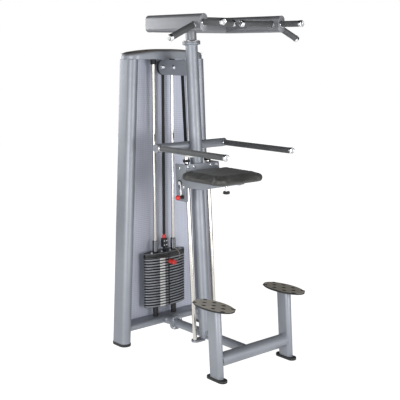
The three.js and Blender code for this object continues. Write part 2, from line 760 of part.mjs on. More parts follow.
for (const [name, y] of [['rear_pulley', rearPulleyY], ['front_pulley', frontPulleyY]]) {
  add(name, pulley(), blackRubber).position.set(0, y, pulleyHeight);
}

const innerBelt = beltRadius;
const outerBelt = beltRadius + beltThickness;
const beltTurn = 2 * quarter - rake;
const beltShape = new THREE.Shape();
beltShape.absarc(rearPulleyY, pulleyHeight, outerBelt, 0, quarter);
beltShape.absarc(frontPulleyY, pulleyHeight, outerBelt, quarter, beltTurn);
beltShape.absarc(frontPulleyY, pulleyHeight, innerBelt, beltTurn, quarter, true);
beltShape.absarc(rearPulleyY, pulleyHeight, innerBelt, quarter, 0, true);
add('header_belt', sideProfile(beltShape, -beltWidth / 2, beltWidth), beltBlack);

const clampTop = headTop + clampNeckHeight + clampHeight + clampNutHeight;
const stackBeltLength = pulleyHeight - clampTop - 2 * seatGap;
const stackBelt = new THREE.BoxGeometry(beltWidth, beltThickness, stackBeltLength);
add('stack_belt', stackBelt, beltBlack).position.set(0, stackY, clampTop + seatGap + stackBeltLength / 2);

const beltMiddle = innerBelt + beltThickness / 2;
const frontTangent = new THREE.Vector3(0, frontPulleyY, pulleyHeight);
frontTangent.y -= beltMiddle * Math.cos(rake);
frontTangent.z += beltMiddle * Math.sin(rake);
const anchorDrop = (frontTangent.z - anchorTop) / Math.cos(rake);
const beltStart = frontTangent.clone().addScaledVector(rakeUp, -anchorDrop + seatGap);
const beltEnd = frontTangent.clone().addScaledVector(rakeUp, -seatGap);
const flatBelt = roundedRectangle(beltWidth, beltThickness, beltEdgeRound);
const carriageBelt = between(prism(flatBelt, beltStart.distanceTo(beltEnd)), beltStart, beltEnd);
add('carriage_belt', carriageBelt, beltBlack);

const bufferHalf = headerPlateGap / 2 - seatGap;
const bufferDisc = crossPin(rearPulleyY + bufferReach, pulleyHeight, headerHeight, 2 * bufferHalf);
const bufferSlotLength = 2 * (pulleyFlangeRadius + bufferBelt);
const bufferSlot = new THREE.BoxGeometry(2 * (bufferHalf - bufferWall), bufferSlotLength, 2 * headerHeight);
bufferSlot.translate(0, rearPulleyY, pulleyHeight);
const bufferBore = crossPin(rearPulleyY, pulleyHeight, axleDiameter + 2 * seatGap, headerPlateGap + overrun);
add('header_buffer', cut(bufferDisc, bufferSlot, bufferBore), blackRubber);

// Pull-up frame on top of the column

const armX = armSpacing / 2;
const armMiddle = machineHeight - armCapOver - armHeight / 2;
const crossbarY = columnY(armMiddle);
const armFrontY = crossbarY - armFrontReach;
const armRearY = crossbarY + armRearReach;
const gripStationY = armFrontY + gripStationReach;

function arm(side, grow = 0) {
  const from = new THREE.Vector3(side * armX, armFrontY - grow, armMiddle);
  const to = new THREE.Vector3(side * armX, armRearY + grow, armMiddle);
  return tube(oval(armWidth + 2 * grow, armHeight + 2 * grow), from, to);
}

function crossbar(grow = 0) {
  const from = new THREE.Vector3(-armX, crossbarY, armMiddle);
  const to = new THREE.Vector3(armX, crossbarY, armMiddle);
  return tube(oval(armWidth + 2 * grow, armHeight + 2 * grow), from, to, forward);
}

function grip(length) {
  // rubber sleeve between a ring at the root (z = 0) and a cap at the end
  const rubber = gripDiameter / 2;
  const ring = gripRingDiameter / 2;
  const cap = gripCapDiameter / 2;
  const capStart = length - gripCapLength;
  return turned([
    [0, 0], [ring, 0], [ring, gripRingLength], [rubber, gripRingLength], [rubber, capStart],
    [cap, capStart], [cap, length - gripCapRound], [cap - gripCapRound, length], [0, length],
  ]);
}

const mastTop = onColumn(armMiddle);
const mastBottom = collarMiddle.clone().addScaledVector(rakeUp, seatGap / 2);
const mastCollarTop = mastBottom.clone().addScaledVector(rakeUp, collarThickness);
const mastCollar = tube(disc(collarDiameter), mastBottom, mastCollarTop);
const mast = tube(disc(mastDiameter), mastBottom, mastTop);
const mastAndBar = join(mast, mastCollar, crossbar());
add('pull_up_crossbar', cut(mastAndBar, arm(-1, seatGap), arm(1, seatGap)), darkPaint);

for (const [name, side] of sides) {
  const capShape = oval(armWidth + 2 * armCapOver, armHeight + 2 * armCapOver);
  const frontCap = frontProfile(capShape, armFrontY - armCapThickness, armCapThickness);
  const rearCap = frontProfile(capShape, armRearY, armCapThickness);
  const caps = [frontCap, rearCap].map((cap) => cap.translate(side * armX, 0, armMiddle));
  add(`pull_up_arm_${name}`, join(arm(side), ...caps), darkPaint);

  const forwardGrip = add(`forward_grip_${name}`, grip(forwardGripLength), gripRubber);
  forwardGrip.rotation.x = quarter;
  forwardGrip.position.set(side * armX, armFrontY - armCapThickness - seatGap, armMiddle);

  const root = new THREE.Vector3(side * armX, gripStationY, armMiddle);
  const outward = new THREE.Vector3(side * Math.cos(wideGripAngle), 0, -Math.sin(wideGripAngle));
  const wideEnd = root.clone().addScaledVector(outward, wideGripReach);
  const wideRoot = root.clone().addScaledVector(outward, armWidth / 2);
  const wide = between(grip(wideGripReach - armWidth / 2), wideRoot, wideEnd, forward);
  add(`wide_grip_${name}`, cut(wide, arm(side, seatGap)), gripRubber);

  const innerRoot = new THREE.Vector3(side * (armX - armWidth / 2 - seatGap), gripStationY, armMiddle);
  const innerEnd = new THREE.Vector3(side * innerGripEnd, gripStationY, armMiddle);
  const inner = between(grip(innerRoot.distanceTo(innerEnd)), innerRoot, innerEnd, forward);
  add(`inner_grip_${name}`, inner, gripRubber);
}

// Dip handles on a cross tube behind the column

const yokeY = columnY(dipHeight) + yokeBehindColumn;
const dipX = dipSpacing / 2;

function yoke(grow = 0) {
  const reach = dipX + yokeEndOver;
  const from = new THREE.Vector3(-reach, yokeY, dipHeight);
  const to = new THREE.Vector3(reach, yokeY, dipHeight);
  return tube(disc(yokeDiameter + 2 * grow), from, to, forward);
}

add('dip_cross_tube', cut(yoke(), column(seatGap)), paint);
for (const [name, side] of sides) {
  const handle = grip(dipHandleReach).rotateX(quarter).translate(side * dipX, yokeY, dipHeight);
  const root = tube(disc(gripRingDiameter), new THREE.Vector3(side * dipX, yokeY, dipHeight),
    new THREE.Vector3(side * dipX, yokeY - yokeDiameter / 2 - gripRingLength, dipHeight));
  add(`dip_handle_${name}`, cut(join(handle, root), yoke(seatGap)), gripRubber);
}

// Guide rods beside the column, held by a bracket at each end

const guideX = guideRodSpacing / 2;
const guideTop = topBracketHeight + rodSeatDepth;
const guideBottom = bottomBracketHeight + bracketThickness - rodSeatDepth;

function guideRod(side, grow = 0) {
  const from = onColumn(guideBottom - grow, side * guideX);
  return tube(disc(guideRodDiameter + 2 * grow), from, onColumn(guideTop + grow, side * guideX));
}

function bracket(z, depth) {
  const outline = oval(guideRodSpacing + 2 * bracketEnd, depth);
  const bar = prism(outline, bracketThickness).translate(0, columnY(z), z);
  return cut(bar, column(seatGap), guideRod(-1, seatGap), guideRod(1, seatGap));
}

for (const [name, side] of sides) {
  add(`guide_rod_${name}`, guideRod(side), chrome);
}
add('guide_top_bracket', bracket(topBracketHeight, topBracketDepth), whitePlastic);
add('guide_bottom_bracket', bracket(bottomBracketHeight, bottomBracketDepth), paint);

// Carriage: two side plates, a cross plate in front, bearing blocks and the belt anchor

const plateOuterX = carriageWidth / 2;
const plateInnerX = plateOuterX - carriagePlateThickness;

function outwardPlate(shape, side, innerX, thickness) {
  return sideProfile(shape, side < 0 ? -innerX - thickness : innerX, thickness);
}

function roundedOutline(corners) {
  // a closed outline through corners given as y, z and corner radius
  const shape = new THREE.Shape();
  corners.forEach(([y, z, radius], index) => {
    const here = new THREE.Vector2(y, z);
    const [previousY, previousZ] = corners[(index + corners.length - 1) % corners.length];
    const [nextY, nextZ] = corners[(index + 1) % corners.length];
    const back = new THREE.Vector2(previousY, previousZ).sub(here).setLength(radius).add(here);
    const ahead = new THREE.Vector2(nextY, nextZ).sub(here).setLength(radius).add(here);
    if (index === 0) {
      shape.moveTo(back.x, back.y);
    } else {
      shape.lineTo(back.x, back.y);
    }
    shape.quadraticCurveTo(here.x, here.y, ahead.x, ahead.y);
  });
  return shape;
}

const sidePlateOutline = (bottom) => roundedOutline([
  [carriageRearY, carriageTop, carriageCorner],
  [crossPlateFrontY, carriageTop, carriageCorner / 2],
  [crossPlateFrontY - rakeShare * (carriageTop - bottom), bottom, carriageCorner],
  [carriageRearY - rakeShare * (carriageTop - bottom), bottom, carriageCorner],
]);
const boreThrough = carriagePlateThickness + padArmThickness + 2 * overrun;
const sideBore = (side, diameter) => outwardPlate(disc(diameter + 2 * slideGap, boreSides), side,
  plateInnerX - overrun, boreThrough);
const hingeBore = (side) => sideBore(side, hingeBoltDiameter).translate(0, hingeY, hingeHeight);
const plungerBore = () => sideBore(-1, plungerPinDiameter).translate(0, plungerY, plungerHeight);

for (const [name, side] of sides) {
  // the left plate reaches further down, past the plunger
  const outline = sidePlateOutline(side < 0 ? carriageBottom : hingeHeight - rightPlateBelow);
  const blank = outwardPlate(outline, side, plateInnerX, carriagePlateThickness);
  const drilled = side < 0 ? cut(blank, hingeBore(side), plungerBore()) : cut(blank, hingeBore(side));
  add(`carriage_plate_${name}`, drilled, paint);

  const blockWidth = plateInnerX - seatGap - blockInnerX;
  const blockMiddleX = side * (blockInnerX + blockWidth / 2);
  const blockOutline = roundedRectangle(blockWidth, blockDepth, carriageCorner / 2);
  const body = between(prism(blockOutline, (blockTop - blockBottom) / Math.cos(rake)),
    onColumn(blockBottom, blockMiddleX), onColumn(blockTop, blockMiddleX));
  const waistHeight = (blockTop - blockBottom) * blockWaistShare;
  const waist = new THREE.BoxGeometry(blockWaistDepth * 2, blockDepth * 2, waistHeight);
  const blockMiddle = (blockTop + blockBottom) / 2;
  waist.translate(side * blockInnerX, columnY(blockMiddle), blockMiddle);
  const bore = tube(disc(guideRodDiameter + 2 * slideGap), onColumn(blockBottom - overrun * 2, side * guideX),
    onColumn(blockTop + overrun * 2, side * guideX));
  add(`guide_block_${name}`, cut(body, waist, bore), blackRubber);
}

const insideWidth = 2 * (plateInnerX - seatGap);
const crossPlate = new THREE.BoxGeometry(insideWidth, carriagePlateThickness, crossPlateHeight);
crossPlate.translate(0, crossPlateFrontY + carriagePlateThickness / 2, carriageTop - crossPlateHeight / 2);
const crossBoltY = crossPlateFrontY - boltHeadHeight / 2;
const crossBoltX = [plateInnerX - boltHeadDiameter, blockInnerX + boltHeadDiameter / 2];
const crossBolts = [-1, 1].flatMap((side) => crossBoltX.map((x) => {
  const head = frontProfile(disc(boltHeadDiameter, boltSides), crossBoltY, boltHeadHeight);
  return head.translate(side * x, 0, carriageTop - boltHeadDiameter);
}));
add('carriage_cross_plate', join(crossPlate, ...crossBolts), paint);

const anchorRearY = columnY(anchorTop) + columnDiameter / 2 + anchorClearance + anchorThickness;
const anchorBar = new THREE.BoxGeometry(insideWidth, anchorThickness, anchorHeight);
anchorBar.translate(0, anchorRearY - anchorThickness / 2, (anchorTop + anchorBottom) / 2);
const lugReach = beltStart.y + anchorThickness - anchorRearY;
const anchorLug = new THREE.BoxGeometry(anchorLugWidth, lugReach + anchorThickness, anchorLugHeight);
anchorLug.translate(0, anchorRearY + (lugReach - anchorThickness) / 2, anchorTop - anchorLugHeight / 2);
add('belt_anchor', join(anchorBar, anchorLug), paint);

// Knee pad on two arms that hinge at the carriage's side plates

const padBottom = padTop - padThickness;
const padMiddleY = padRearY - padLength / 2;
const armTop = padBottom - seatGap;
const armInnerX = plateOuterX + seatGap;

const armStart = [
  [leverY + padTailRadius, armTop, carriageCorner],
  [padArmFrontTopY, armTop, carriageCorner / 2],
  [padArmFrontBottomY, armTop - padArmHeight, padTailRadius],
  [hingeY - padTailRadius, armTop - padArmHeight - carriageCorner, padTailRadius / 2],
];
const leftArmOutline = roundedOutline([
  ...armStart,
  [plungerY - padTailRadius, padTailBottom, carriageCorner],
  [plungerY + padTailRadius, padTailBottom, carriageCorner],
  [leverY, armTop - 2 * padArmHeight, carriageCorner],
  [leverY + padTailRadius, leverHeight - padTailRadius, carriageCorner],
]);
const rightArmOutline = roundedOutline([
  ...armStart,
  [hingeY, hingeHeight - rightPlateBelow, carriageCorner],
  [leverY + padTailRadius, hingeHeight - rightPlateBelow, carriageCorner],
]);
const padArm = (side) => outwardPlate(side < 0 ? leftArmOutline : rightArmOutline, side, armInnerX,
  padArmThickness);
const padTubeHeight = armTop - padTubeDiameter / 2;
const padTube = (y) => crossPin(y, padTubeHeight, padTubeDiameter, 2 * armInnerX + padArmThickness);
const barrel = outwardPlate(disc(plungerBodyDiameter), -1, armInnerX + padArmThickness / 2,
  plungerBodyLength + padArmThickness / 2).translate(0, plungerY, plungerHeight);
const barrelBore = outwardPlate(disc(plungerPinDiameter + 2 * slideGap, boreSides), -1, armInnerX - overrun,
  plungerBodyLength + padArmThickness + 2 * overrun).translate(0, plungerY, plungerHeight);
const leverBore = outwardPlate(disc(leverBoltDiameter + 2 * slideGap, boreSides), -1, armInnerX - overrun,
  padArmThickness + 2 * overrun).translate(0, leverY, leverHeight);
const knobBore = prism(disc(padKnobStemDiameter + 2 * slideGap), padTubeDiameter)
  .translate(0, padKnobY, padTubeHeight - padTubeDiameter);
const padFrame = join(padArm(-1), padArm(1), padTube(padKnobY), padTube(padRearTubeY), barrel);
const hingeShank = hingeBoltDiameter / 2;
const hingeHead = hingeHeadDiameter / 2;
const hingeHeadStart = carriagePlateThickness + padArmThickness;
const hingeBolts = sides.map(([, side]) => turned([
  [0, slideGap],
  [hingeShank, slideGap],
  [hingeShank, hingeHeadStart],
  [hingeHead, hingeHeadStart],
  [hingeHead, hingeHeadStart + hingeHeadHeight],
  [0, hingeHeadStart + hingeHeadHeight],
]).rotateY(side * quarter).translate(side * plateInnerX, hingeY, hingeHeight));
add('pad_frame', join(cut(padFrame, barrelBore, leverBore, knobBore), ...hingeBolts), paint);

const outerFace = armInnerX + padArmThickness;
const leverOutline = new THREE.Shape([
  ...arc(0, 0, 2 * leverHeadRadius, 2 * leverHeadRadius, 0, 2 * quarter, roundSides),
  ...arc(0, -leverReach, 2 * leverTipRadius, 2 * leverTipRadius, 2 * quarter, 4 * quarter, roundSides),
]);
const leverPlate = outwardPlate(leverOutline, -1, outerFace + seatGap, leverThickness);
const leverBolt = outwardPlate(disc(leverBoltDiameter, boreSides), -1, armInnerX + seatGap,
  padArmThickness + leverThickness);
const lever = join(leverPlate, leverBolt).rotateX(-leverTiltAngle);
add('lock_lever', lever, chrome).position.set(0, leverY, leverHeight);

const ballRadius = plungerBallDiameter / 2;
const plungerTip = armInnerX;
const ballMiddle = outerFace + plungerBodyLength + ballClearance + ballRadius;
const ball = new THREE.SphereGeometry(ballRadius, roundSides, roundSides / 2).translate(-ballMiddle, 0, 0);
const plungerPin = outwardPlate(disc(plungerPinDiameter, boreSides), -1, plungerTip, ballMiddle - plungerTip);
add('lock_plunger', join(ball, plungerPin), redPlastic).position.set(0, plungerY, plungerHeight);

const knobSides = padKnobLobes * sidesPerLobe;
const knobOutline = new THREE.Shape(arc(0, 0, 1, 1, 0, 2 * Math.PI, knobSides).slice(1).map((point) => {
  const swell = 1 + padKnobLobeShare * Math.cos(padKnobLobes * point.angle());
  return point.multiplyScalar(padKnobDiameter * swell);
}));
const knobStem = prism(disc(padKnobStemDiameter), padKnobStemLength + padKnobThickness);
const padKnob = join(prism(knobOutline, padKnobThickness), knobStem);
const padKnobBottom = padTubeHeight - slideGap - padKnobStemLength - padKnobThickness;
add('pad_knob', padKnob, gripRubber).position.set(0, padKnobY, padKnobBottom);

function lofted(rings, lowest, highest) {
  // a closed skin over rings of equal count, from a lowest to a highest middle point
  const count = rings[0].length;
  const points = [lowest, ...rings.flat(), highest];
  const faces = [];
  for (let step = 0; step < count; step += 1) {
    const next = (step + 1) % count;
    faces.push(0, 1 + next, 1 + step);
    for (let ring = 0; ring + 1 < rings.length; ring += 1) {
      const low = 1 + ring * count;
      const high = low + count;
      faces.push(low + step, low + next, high + next, low + step, high + next, high + step);
    }
    const last = 1 + (rings.length - 1) * count;
    faces.push(points.length - 1, last + step, last + next);
  }
  const geometry = new THREE.BufferGeometry();
  const places = new Float32Array(points.flatMap((point) => point.toArray()));
  geometry.setAttribute('position', new THREE.BufferAttribute(places, 3));
  geometry.setIndex(faces);
  return geometry;
}

function cushionOutline(inset) {
  // tighter corners at the rear, next to the carriage, than at the front
  const corner = (sideX, sideY, radius, from) => {
    const x = sideX * (padWidth / 2 - radius);
    const y = sideY * (padLength / 2 - radius);
    const size = 2 * (radius - inset);
    return arc(x, y, size, size, from, from + quarter, cushionSides);
  };
  return new THREE.Shape([
    ...corner(1, 1, padRearCorner, 0),
    ...corner(-1, 1, padRearCorner, quarter),
    ...corner(-1, -1, padFrontCorner, 2 * quarter),
    ...corner(1, -1, padFrontCorner, 3 * quarter),
  ]);
}

function cushion() {
  // the sides bulge over a drawn-in seam and roll over into a low crown
  const edgeHeight = padThickness - padCrown;
  const ring = (inset, spread, z) => {
    const outline = cushionOutline(inset);
    return outline.getPoints().map((point) => new THREE.Vector3(point.x * spread, point.y * spread, z));
  };
  const edge = sideShares.map(([inset, height]) => ring(inset * padEdgeRound, 1, height * edgeHeight));
  const crown = crownShares.map((spread) => {
    return ring(padEdgeRound, spread, edgeHeight + padCrown * (1 - spread * spread));
  });
  return lofted([...edge, ...crown], new THREE.Vector3(), new THREE.Vector3(0, 0, padThickness));
}

add('knee_pad', cushion(), vinyl).position.set(0, padMiddleY, padBottom);

const lanyardSection = disc(lanyardDiameter, pinSides);
const sleeveReach = sleeveDiameter / 2 + seatGap;
const tie = new THREE.Vector3(rodX, stackY, headTop + lanyardTieHeight);
tie.x -= sleeveReach * Math.SQRT1_2;
tie.y -= sleeveReach * Math.SQRT1_2;
const pinSide = new THREE.Vector3(pinHandleDiameter / 2 + seatGap, plateFrontY - lanyardPinReach, pinHeight);
const lanyardPath = new THREE.CatmullRomCurve3([
  tie,
  new THREE.Vector3(tie.x - lanyardEase, tie.y - lanyardEase - lanyardDiameter, tie.z),
  new THREE.Vector3(rodX - lanyardEase, plateFrontY - lanyardEase, headTop + lanyardDiameter),
  new THREE.Vector3(rodX - lanyardEase - lanyardDiameter, plateFrontY - lanyardBow, (headTop + pinHeight) / 2),
  new THREE.Vector3(pinSide.x + lanyardLoop, pinSide.y, pinHeight + lanyardLoop / 2),
  new THREE.Vector3(pinSide.x + lanyardEase, pinSide.y, pinHeight),
  pinSide,
], false, 'centripetal');
const lanyard = new THREE.ExtrudeGeometry(lanyardSection, { extrudePath: lanyardPath, steps: lanyardSteps });
add('pin_lanyard', lanyard, beltBlack);

group.updateMatrixWorld(true);
export default group;
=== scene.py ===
# Assisted chin and dip machine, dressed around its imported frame.
# Sizes are in millimetres and turned to metres where Blender takes them.
import math

import bmesh
import bpy
from mathutils import Matrix, Vector, noise


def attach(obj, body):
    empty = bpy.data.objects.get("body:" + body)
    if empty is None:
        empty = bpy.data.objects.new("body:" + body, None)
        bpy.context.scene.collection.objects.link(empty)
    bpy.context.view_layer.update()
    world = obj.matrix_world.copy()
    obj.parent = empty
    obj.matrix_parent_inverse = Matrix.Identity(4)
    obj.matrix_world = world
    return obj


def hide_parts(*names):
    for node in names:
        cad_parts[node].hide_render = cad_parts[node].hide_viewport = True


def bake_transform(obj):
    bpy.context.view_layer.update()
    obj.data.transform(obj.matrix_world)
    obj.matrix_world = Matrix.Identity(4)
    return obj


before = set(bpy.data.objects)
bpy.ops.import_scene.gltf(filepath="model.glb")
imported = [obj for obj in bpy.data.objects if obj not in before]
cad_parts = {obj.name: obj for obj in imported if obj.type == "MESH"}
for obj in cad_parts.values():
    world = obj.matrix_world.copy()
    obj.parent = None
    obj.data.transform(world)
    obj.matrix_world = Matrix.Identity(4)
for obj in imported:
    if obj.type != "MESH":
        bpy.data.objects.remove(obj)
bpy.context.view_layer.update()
print("stage: frame loaded")

scene = bpy.context.scene
xAxis, yAxis, zAxis = Vector((1, 0, 0)), Vector((0, 1, 0)), Vector((0, 0, 1))
sides = (("left", -1), ("right", 1))
metre = 0.001


def at(x, y, z):
    return Vector((x, y, z))


def mm(x, y, z):
    return Vector((x, y, z)) * metre


# Camera: where the photograph was taken from
cameraSet = {
    "place": (-3678, -4211, 2055), "turn": -40.49, "down": 10.18, "lens": 76.86, "sensor": 36, "clipEnd": 100,
}


def addCamera():
    data = bpy.data.cameras.new("photographCamera")
    data.sensor_width, data.lens, data.clip_end = cameraSet["sensor"], cameraSet["lens"], cameraSet["clipEnd"]
    camera = bpy.data.objects.new("photographCamera", data)
    camera.location = mm(*cameraSet["place"])
    camera.rotation_euler = (math.radians(90 - cameraSet["down"]), 0, math.radians(cameraSet["turn"]))
    scene.collection.objects.link(camera)
    scene.camera = camera


addCamera()

# The machine's own lines, shared by all pieces; rakeShare is the lean of the column, the rods and the uprights
machine = {
    "rakeShare": 0.072, "columnFootY": 35, "platformMiddleY": -397, "platformTop": 478, "legX": 310,
    "towerY": 493, "postTopX": 285, "postBottomX": 383, "capUnderside": 1972,
    "armMiddle": 2196.5, "armX": 327, "armWidth": 52, "armHeight": 105, "rodX": 82, "guideX": 92,
    "pulleyZ": 1916, "rearPulleyY": 445.2, "frontPulleyY": 331.2, "dipZ": 1402, "dipX": 281,
}
rake = math.atan(machine["rakeShare"])
rakeUp = at(0, math.sin(rake), math.cos(rake))
towerY, capUnderside = machine["towerY"], machine["capUnderside"]


def columnY(z):
    return machine["columnFootY"] + machine["rakeShare"] * z


def columnAt(z, x=0):
    return at(x, columnY(z), z)


def legY(z):
    return machine["platformMiddleY"] - machine["rakeShare"] * (machine["platformTop"] - z)


def postX(z):
    return machine["postBottomX"] + (machine["postTopX"] - machine["postBottomX"]) * z / capUnderside


# Materials
def hexToLinear(text):
    def channel(value):
        value /= 255
        return value / 12.92 if value <= 0.04045 else ((value + 0.055) / 1.055) ** 2.4

    return tuple(channel(int(text[i : i + 2], 16)) for i in (1, 3, 5)) + (1,)


def addNode(tree, kind, settings=None, links=None):
    # adds a node with its settings and links
    node = tree.nodes.new(kind)
    for key, value in (settings or {}).items():
        if isinstance(key, str) and hasattr(node, key):
            setattr(node, key, value)
        else:
            node.inputs[key].default_value = value
    for key, source in (links or {}).items():
        tree.links.new(source, node.inputs[key])
    return node


def emptyMaterial(name):
    material = bpy.data.materials.new(name)
    material.use_nodes = True
    material.node_tree.nodes.clear()
    return material, material.node_tree


def startMaterial(name, shader):
    material, tree = emptyMaterial(name)
    coords = addNode(tree, "ShaderNodeTexCoord").outputs["Object"]
    surface = addNode(tree, "ShaderNodeBsdfPrincipled", shader)
    addNode(tree, "ShaderNodeOutputMaterial", links={"Surface": surface.outputs["BSDF"]})
    return material, tree, coords


def dressed(material, relief, colour, roughness=None, *, strength, distance):
    # links the bump, the colour and the roughness of a finish to its shader
    tree = material.node_tree
    bump = addNode(tree, "ShaderNodeBump", {"Strength": strength, "Distance": distance}, {"Height": relief})
    for key, source in (("Normal", bump.outputs["Normal"]), ("Base Color", colour), ("Roughness", roughness)):
        if source:
            tree.links.new(source, tree.nodes["Principled BSDF"].inputs[key])
    return material


def texture(tree, coords, kind, size, **more):
    # a texture whose grains have a size in millimetres
    return addNode(tree, kind, {"Scale": 1000 / size, **more}, {"Vector": coords}).outputs


def cloud(tree, coords, size, detail):
    return texture(tree, coords, "ShaderNodeTexNoise", size, Detail=detail)["Fac"]


def scaled(tree, coords, scale):
    return addNode(tree, "ShaderNodeMapping", {"Scale": scale}, {"Vector": coords}).outputs["Vector"]


def ramp(tree, factor, toLow=0.0, toHigh=1.0, low=0.3, high=0.7):
    settings = {"From Min": low, "From Max": high, "To Min": toLow, "To Max": toHigh}
    return addNode(tree, "ShaderNodeMapRange", settings, {"Value": factor}).outputs["Result"]


def mixColours(tree, factor, dark, light):
    # a mix of two colours, of which each is a hex text or a socket
    mix = addNode(tree, "ShaderNodeMix", {"data_type": "RGBA"}, {0: factor})
    for key, colour in (("A", dark), ("B", light)):
        if isinstance(colour, str):
            mix.inputs[key].default_value = hexToLinear(colour)
        else:
            tree.links.new(colour, mix.inputs[key])
    return mix.outputs["Result"]


def powderCoat(name, dark, light, metallic, roughness):
    # powder coat baked on steel tube: even satin colour with an orange-peel sheen that breaks up long highlights
    material, tree, coords = startMaterial(name, {"Metallic": metallic, "IOR": 1.5})
    colour = mixColours(tree, ramp(tree, cloud(tree, coords, 260, 3)), dark, light)
    satin = ramp(tree, cloud(tree, coords, 14, 4), roughness - 0.05, roughness + 0.06)
    peel = cloud(tree, coords, 3.2, 2)
    return dressed(material, peel, colour, satin, strength=0.05, distance=0.0006)


def hardChrome(name, tint, roughness=0.1):
    # hard chrome plate on ground bar: a near-mirror with faint drawn lines and handling haze
    material, tree, coords = startMaterial(name, {"Metallic": 1.0, "Base Color": hexToLinear(tint)})
    haze = ramp(tree, cloud(tree, coords, 35, 5), roughness * 0.6, roughness * 1.6)
    lines = cloud(tree, scaled(tree, coords, (1, 1, 0.05)), 1.5, 2)
    return dressed(material, lines, None, haze, strength=0.02, distance=0.0002)


def gripSleeve(name, dark, light):
    # extruded nitrile grip sleeve: matt dark grey skin with small moulded pimples that catch a soft sheen
    shader = {"Roughness": 0.62, "Sheen Weight": 0.15, "Sheen Roughness": 0.4, "IOR": 1.5}
    material, tree, coords = startMaterial(name, shader)
    pimples = texture(tree, coords, "ShaderNodeTexVoronoi", 3.5, Randomness=0.25)["Distance"]
    worn = mixColours(tree, ramp(tree, cloud(tree, coords, 60, 4)), dark, light)
    return dressed(material, pimples, worn, strength=0.5, distance=0.0006)


def mouldedPlastic(name, dark, light, roughness, grain=1.6):
    # injection moulded part: even colour with a fine spark-eroded grain that softens its highlight
    material, tree, coords = startMaterial(name, {"IOR": 1.5})
    flow = cloud(tree, coords, 45, 3)
    colour = mixColours(tree, ramp(tree, flow), dark, light)
    gloss = ramp(tree, flow, roughness - 0.06, roughness + 0.08)
    grit = cloud(tree, coords, grain, 3)
    return dressed(material, grit, colour, gloss, strength=0.15, distance=0.0003)


def castPlatePaint(name, dark, light):
    # semi-gloss black enamel on cast iron: slight pits and a grey bloom that varies at random; a grey copy of it is
    # the painted highlight on the plate rims
    material, tree, coords = startMaterial(name, {"Metallic": 0.2, "IOR": 1.5})
    bloom = cloud(tree, coords, 40, 5)
    colour = mixColours(tree, ramp(tree, bloom, 0, 1, 0.35, 0.75), dark, light)
    pits, gloss = cloud(tree, coords, 5, 4), ramp(tree, bloom, 0.26, 0.42)
    return dressed(material, pits, colour, gloss, strength=0.18, distance=0.0008)


def perforatedPanelPaint(name, dark, light, hole):
    # painted steel sheet punched with round holes: rows of dark dots give it a fine even screen;
    # the real 4 mm pitch is finer than a pixel, so it is drawn at 14 mm
    material, tree, coords = startMaterial(name, {"Metallic": 0.15, "IOR": 1.5, "Roughness": 0.5})
    dots = texture(tree, scaled(tree, coords, (1, 0, 1)), "ShaderNodeTexVoronoi", 14, Randomness=0.0)["Distance"]
    sheet = mixColours(tree, ramp(tree, cloud(tree, coords, 300, 3)), dark, light)
    mask = ramp(tree, dots, 0, 1, 0.26, 0.32)
    return dressed(material, mask, mixColours(tree, mask, hole, sheet), strength=0.3, distance=0.001)


def upholsteryVinyl(name, dark, light):
    # expanded vinyl over foam: a pebbled leather grain with a soft sheen, with painted shade in its creases
    shader = {"IOR": 1.5, "Sheen Weight": 0.12, "Sheen Roughness": 0.45, "Coat Weight": 0.08, "Coat Roughness": 0.4}
    material, tree, coords = startMaterial(name, shader)
    warp = texture(tree, coords, "ShaderNodeTexNoise", 9, Detail=2)
    reach = {"operation": "MULTIPLY_ADD", 1: (0.003, 0.003, 0.003)}
    shifted = addNode(tree, "ShaderNodeVectorMath", reach, {0: warp["Color"], 2: coords}).outputs["Vector"]
    cells = texture(tree, shifted, "ShaderNodeTexVoronoi", 3.2, feature="DISTANCE_TO_EDGE")["Distance"]
    pebbleAndCreaseShade = ramp(tree, cells, 0, 1, 0.0, 0.16)
    # the grain's creases take the darker colour: painted shade
    colour = mixColours(tree, pebbleAndCreaseShade, dark, light)
    gloss = ramp(tree, warp["Fac"], 0.44, 0.58)
    return dressed(material, pebbleAndCreaseShade, colour, gloss, strength=0.25, distance=0.0005)


def wovenBelt(name, dark, light):
    # aramid drive belt with a woven nylon face: fine cross ribs that dull its black
    material, tree, coords = startMaterial(name, {"Roughness": 0.6, "IOR": 1.5})
    weft = texture(tree, coords, "ShaderNodeTexWave", 9, bands_direction="Z", Distortion=0.4)["Fac"]
    return dressed(material, weft, mixColours(tree, weft, dark, light), strength=0.4, distance=0.0005)


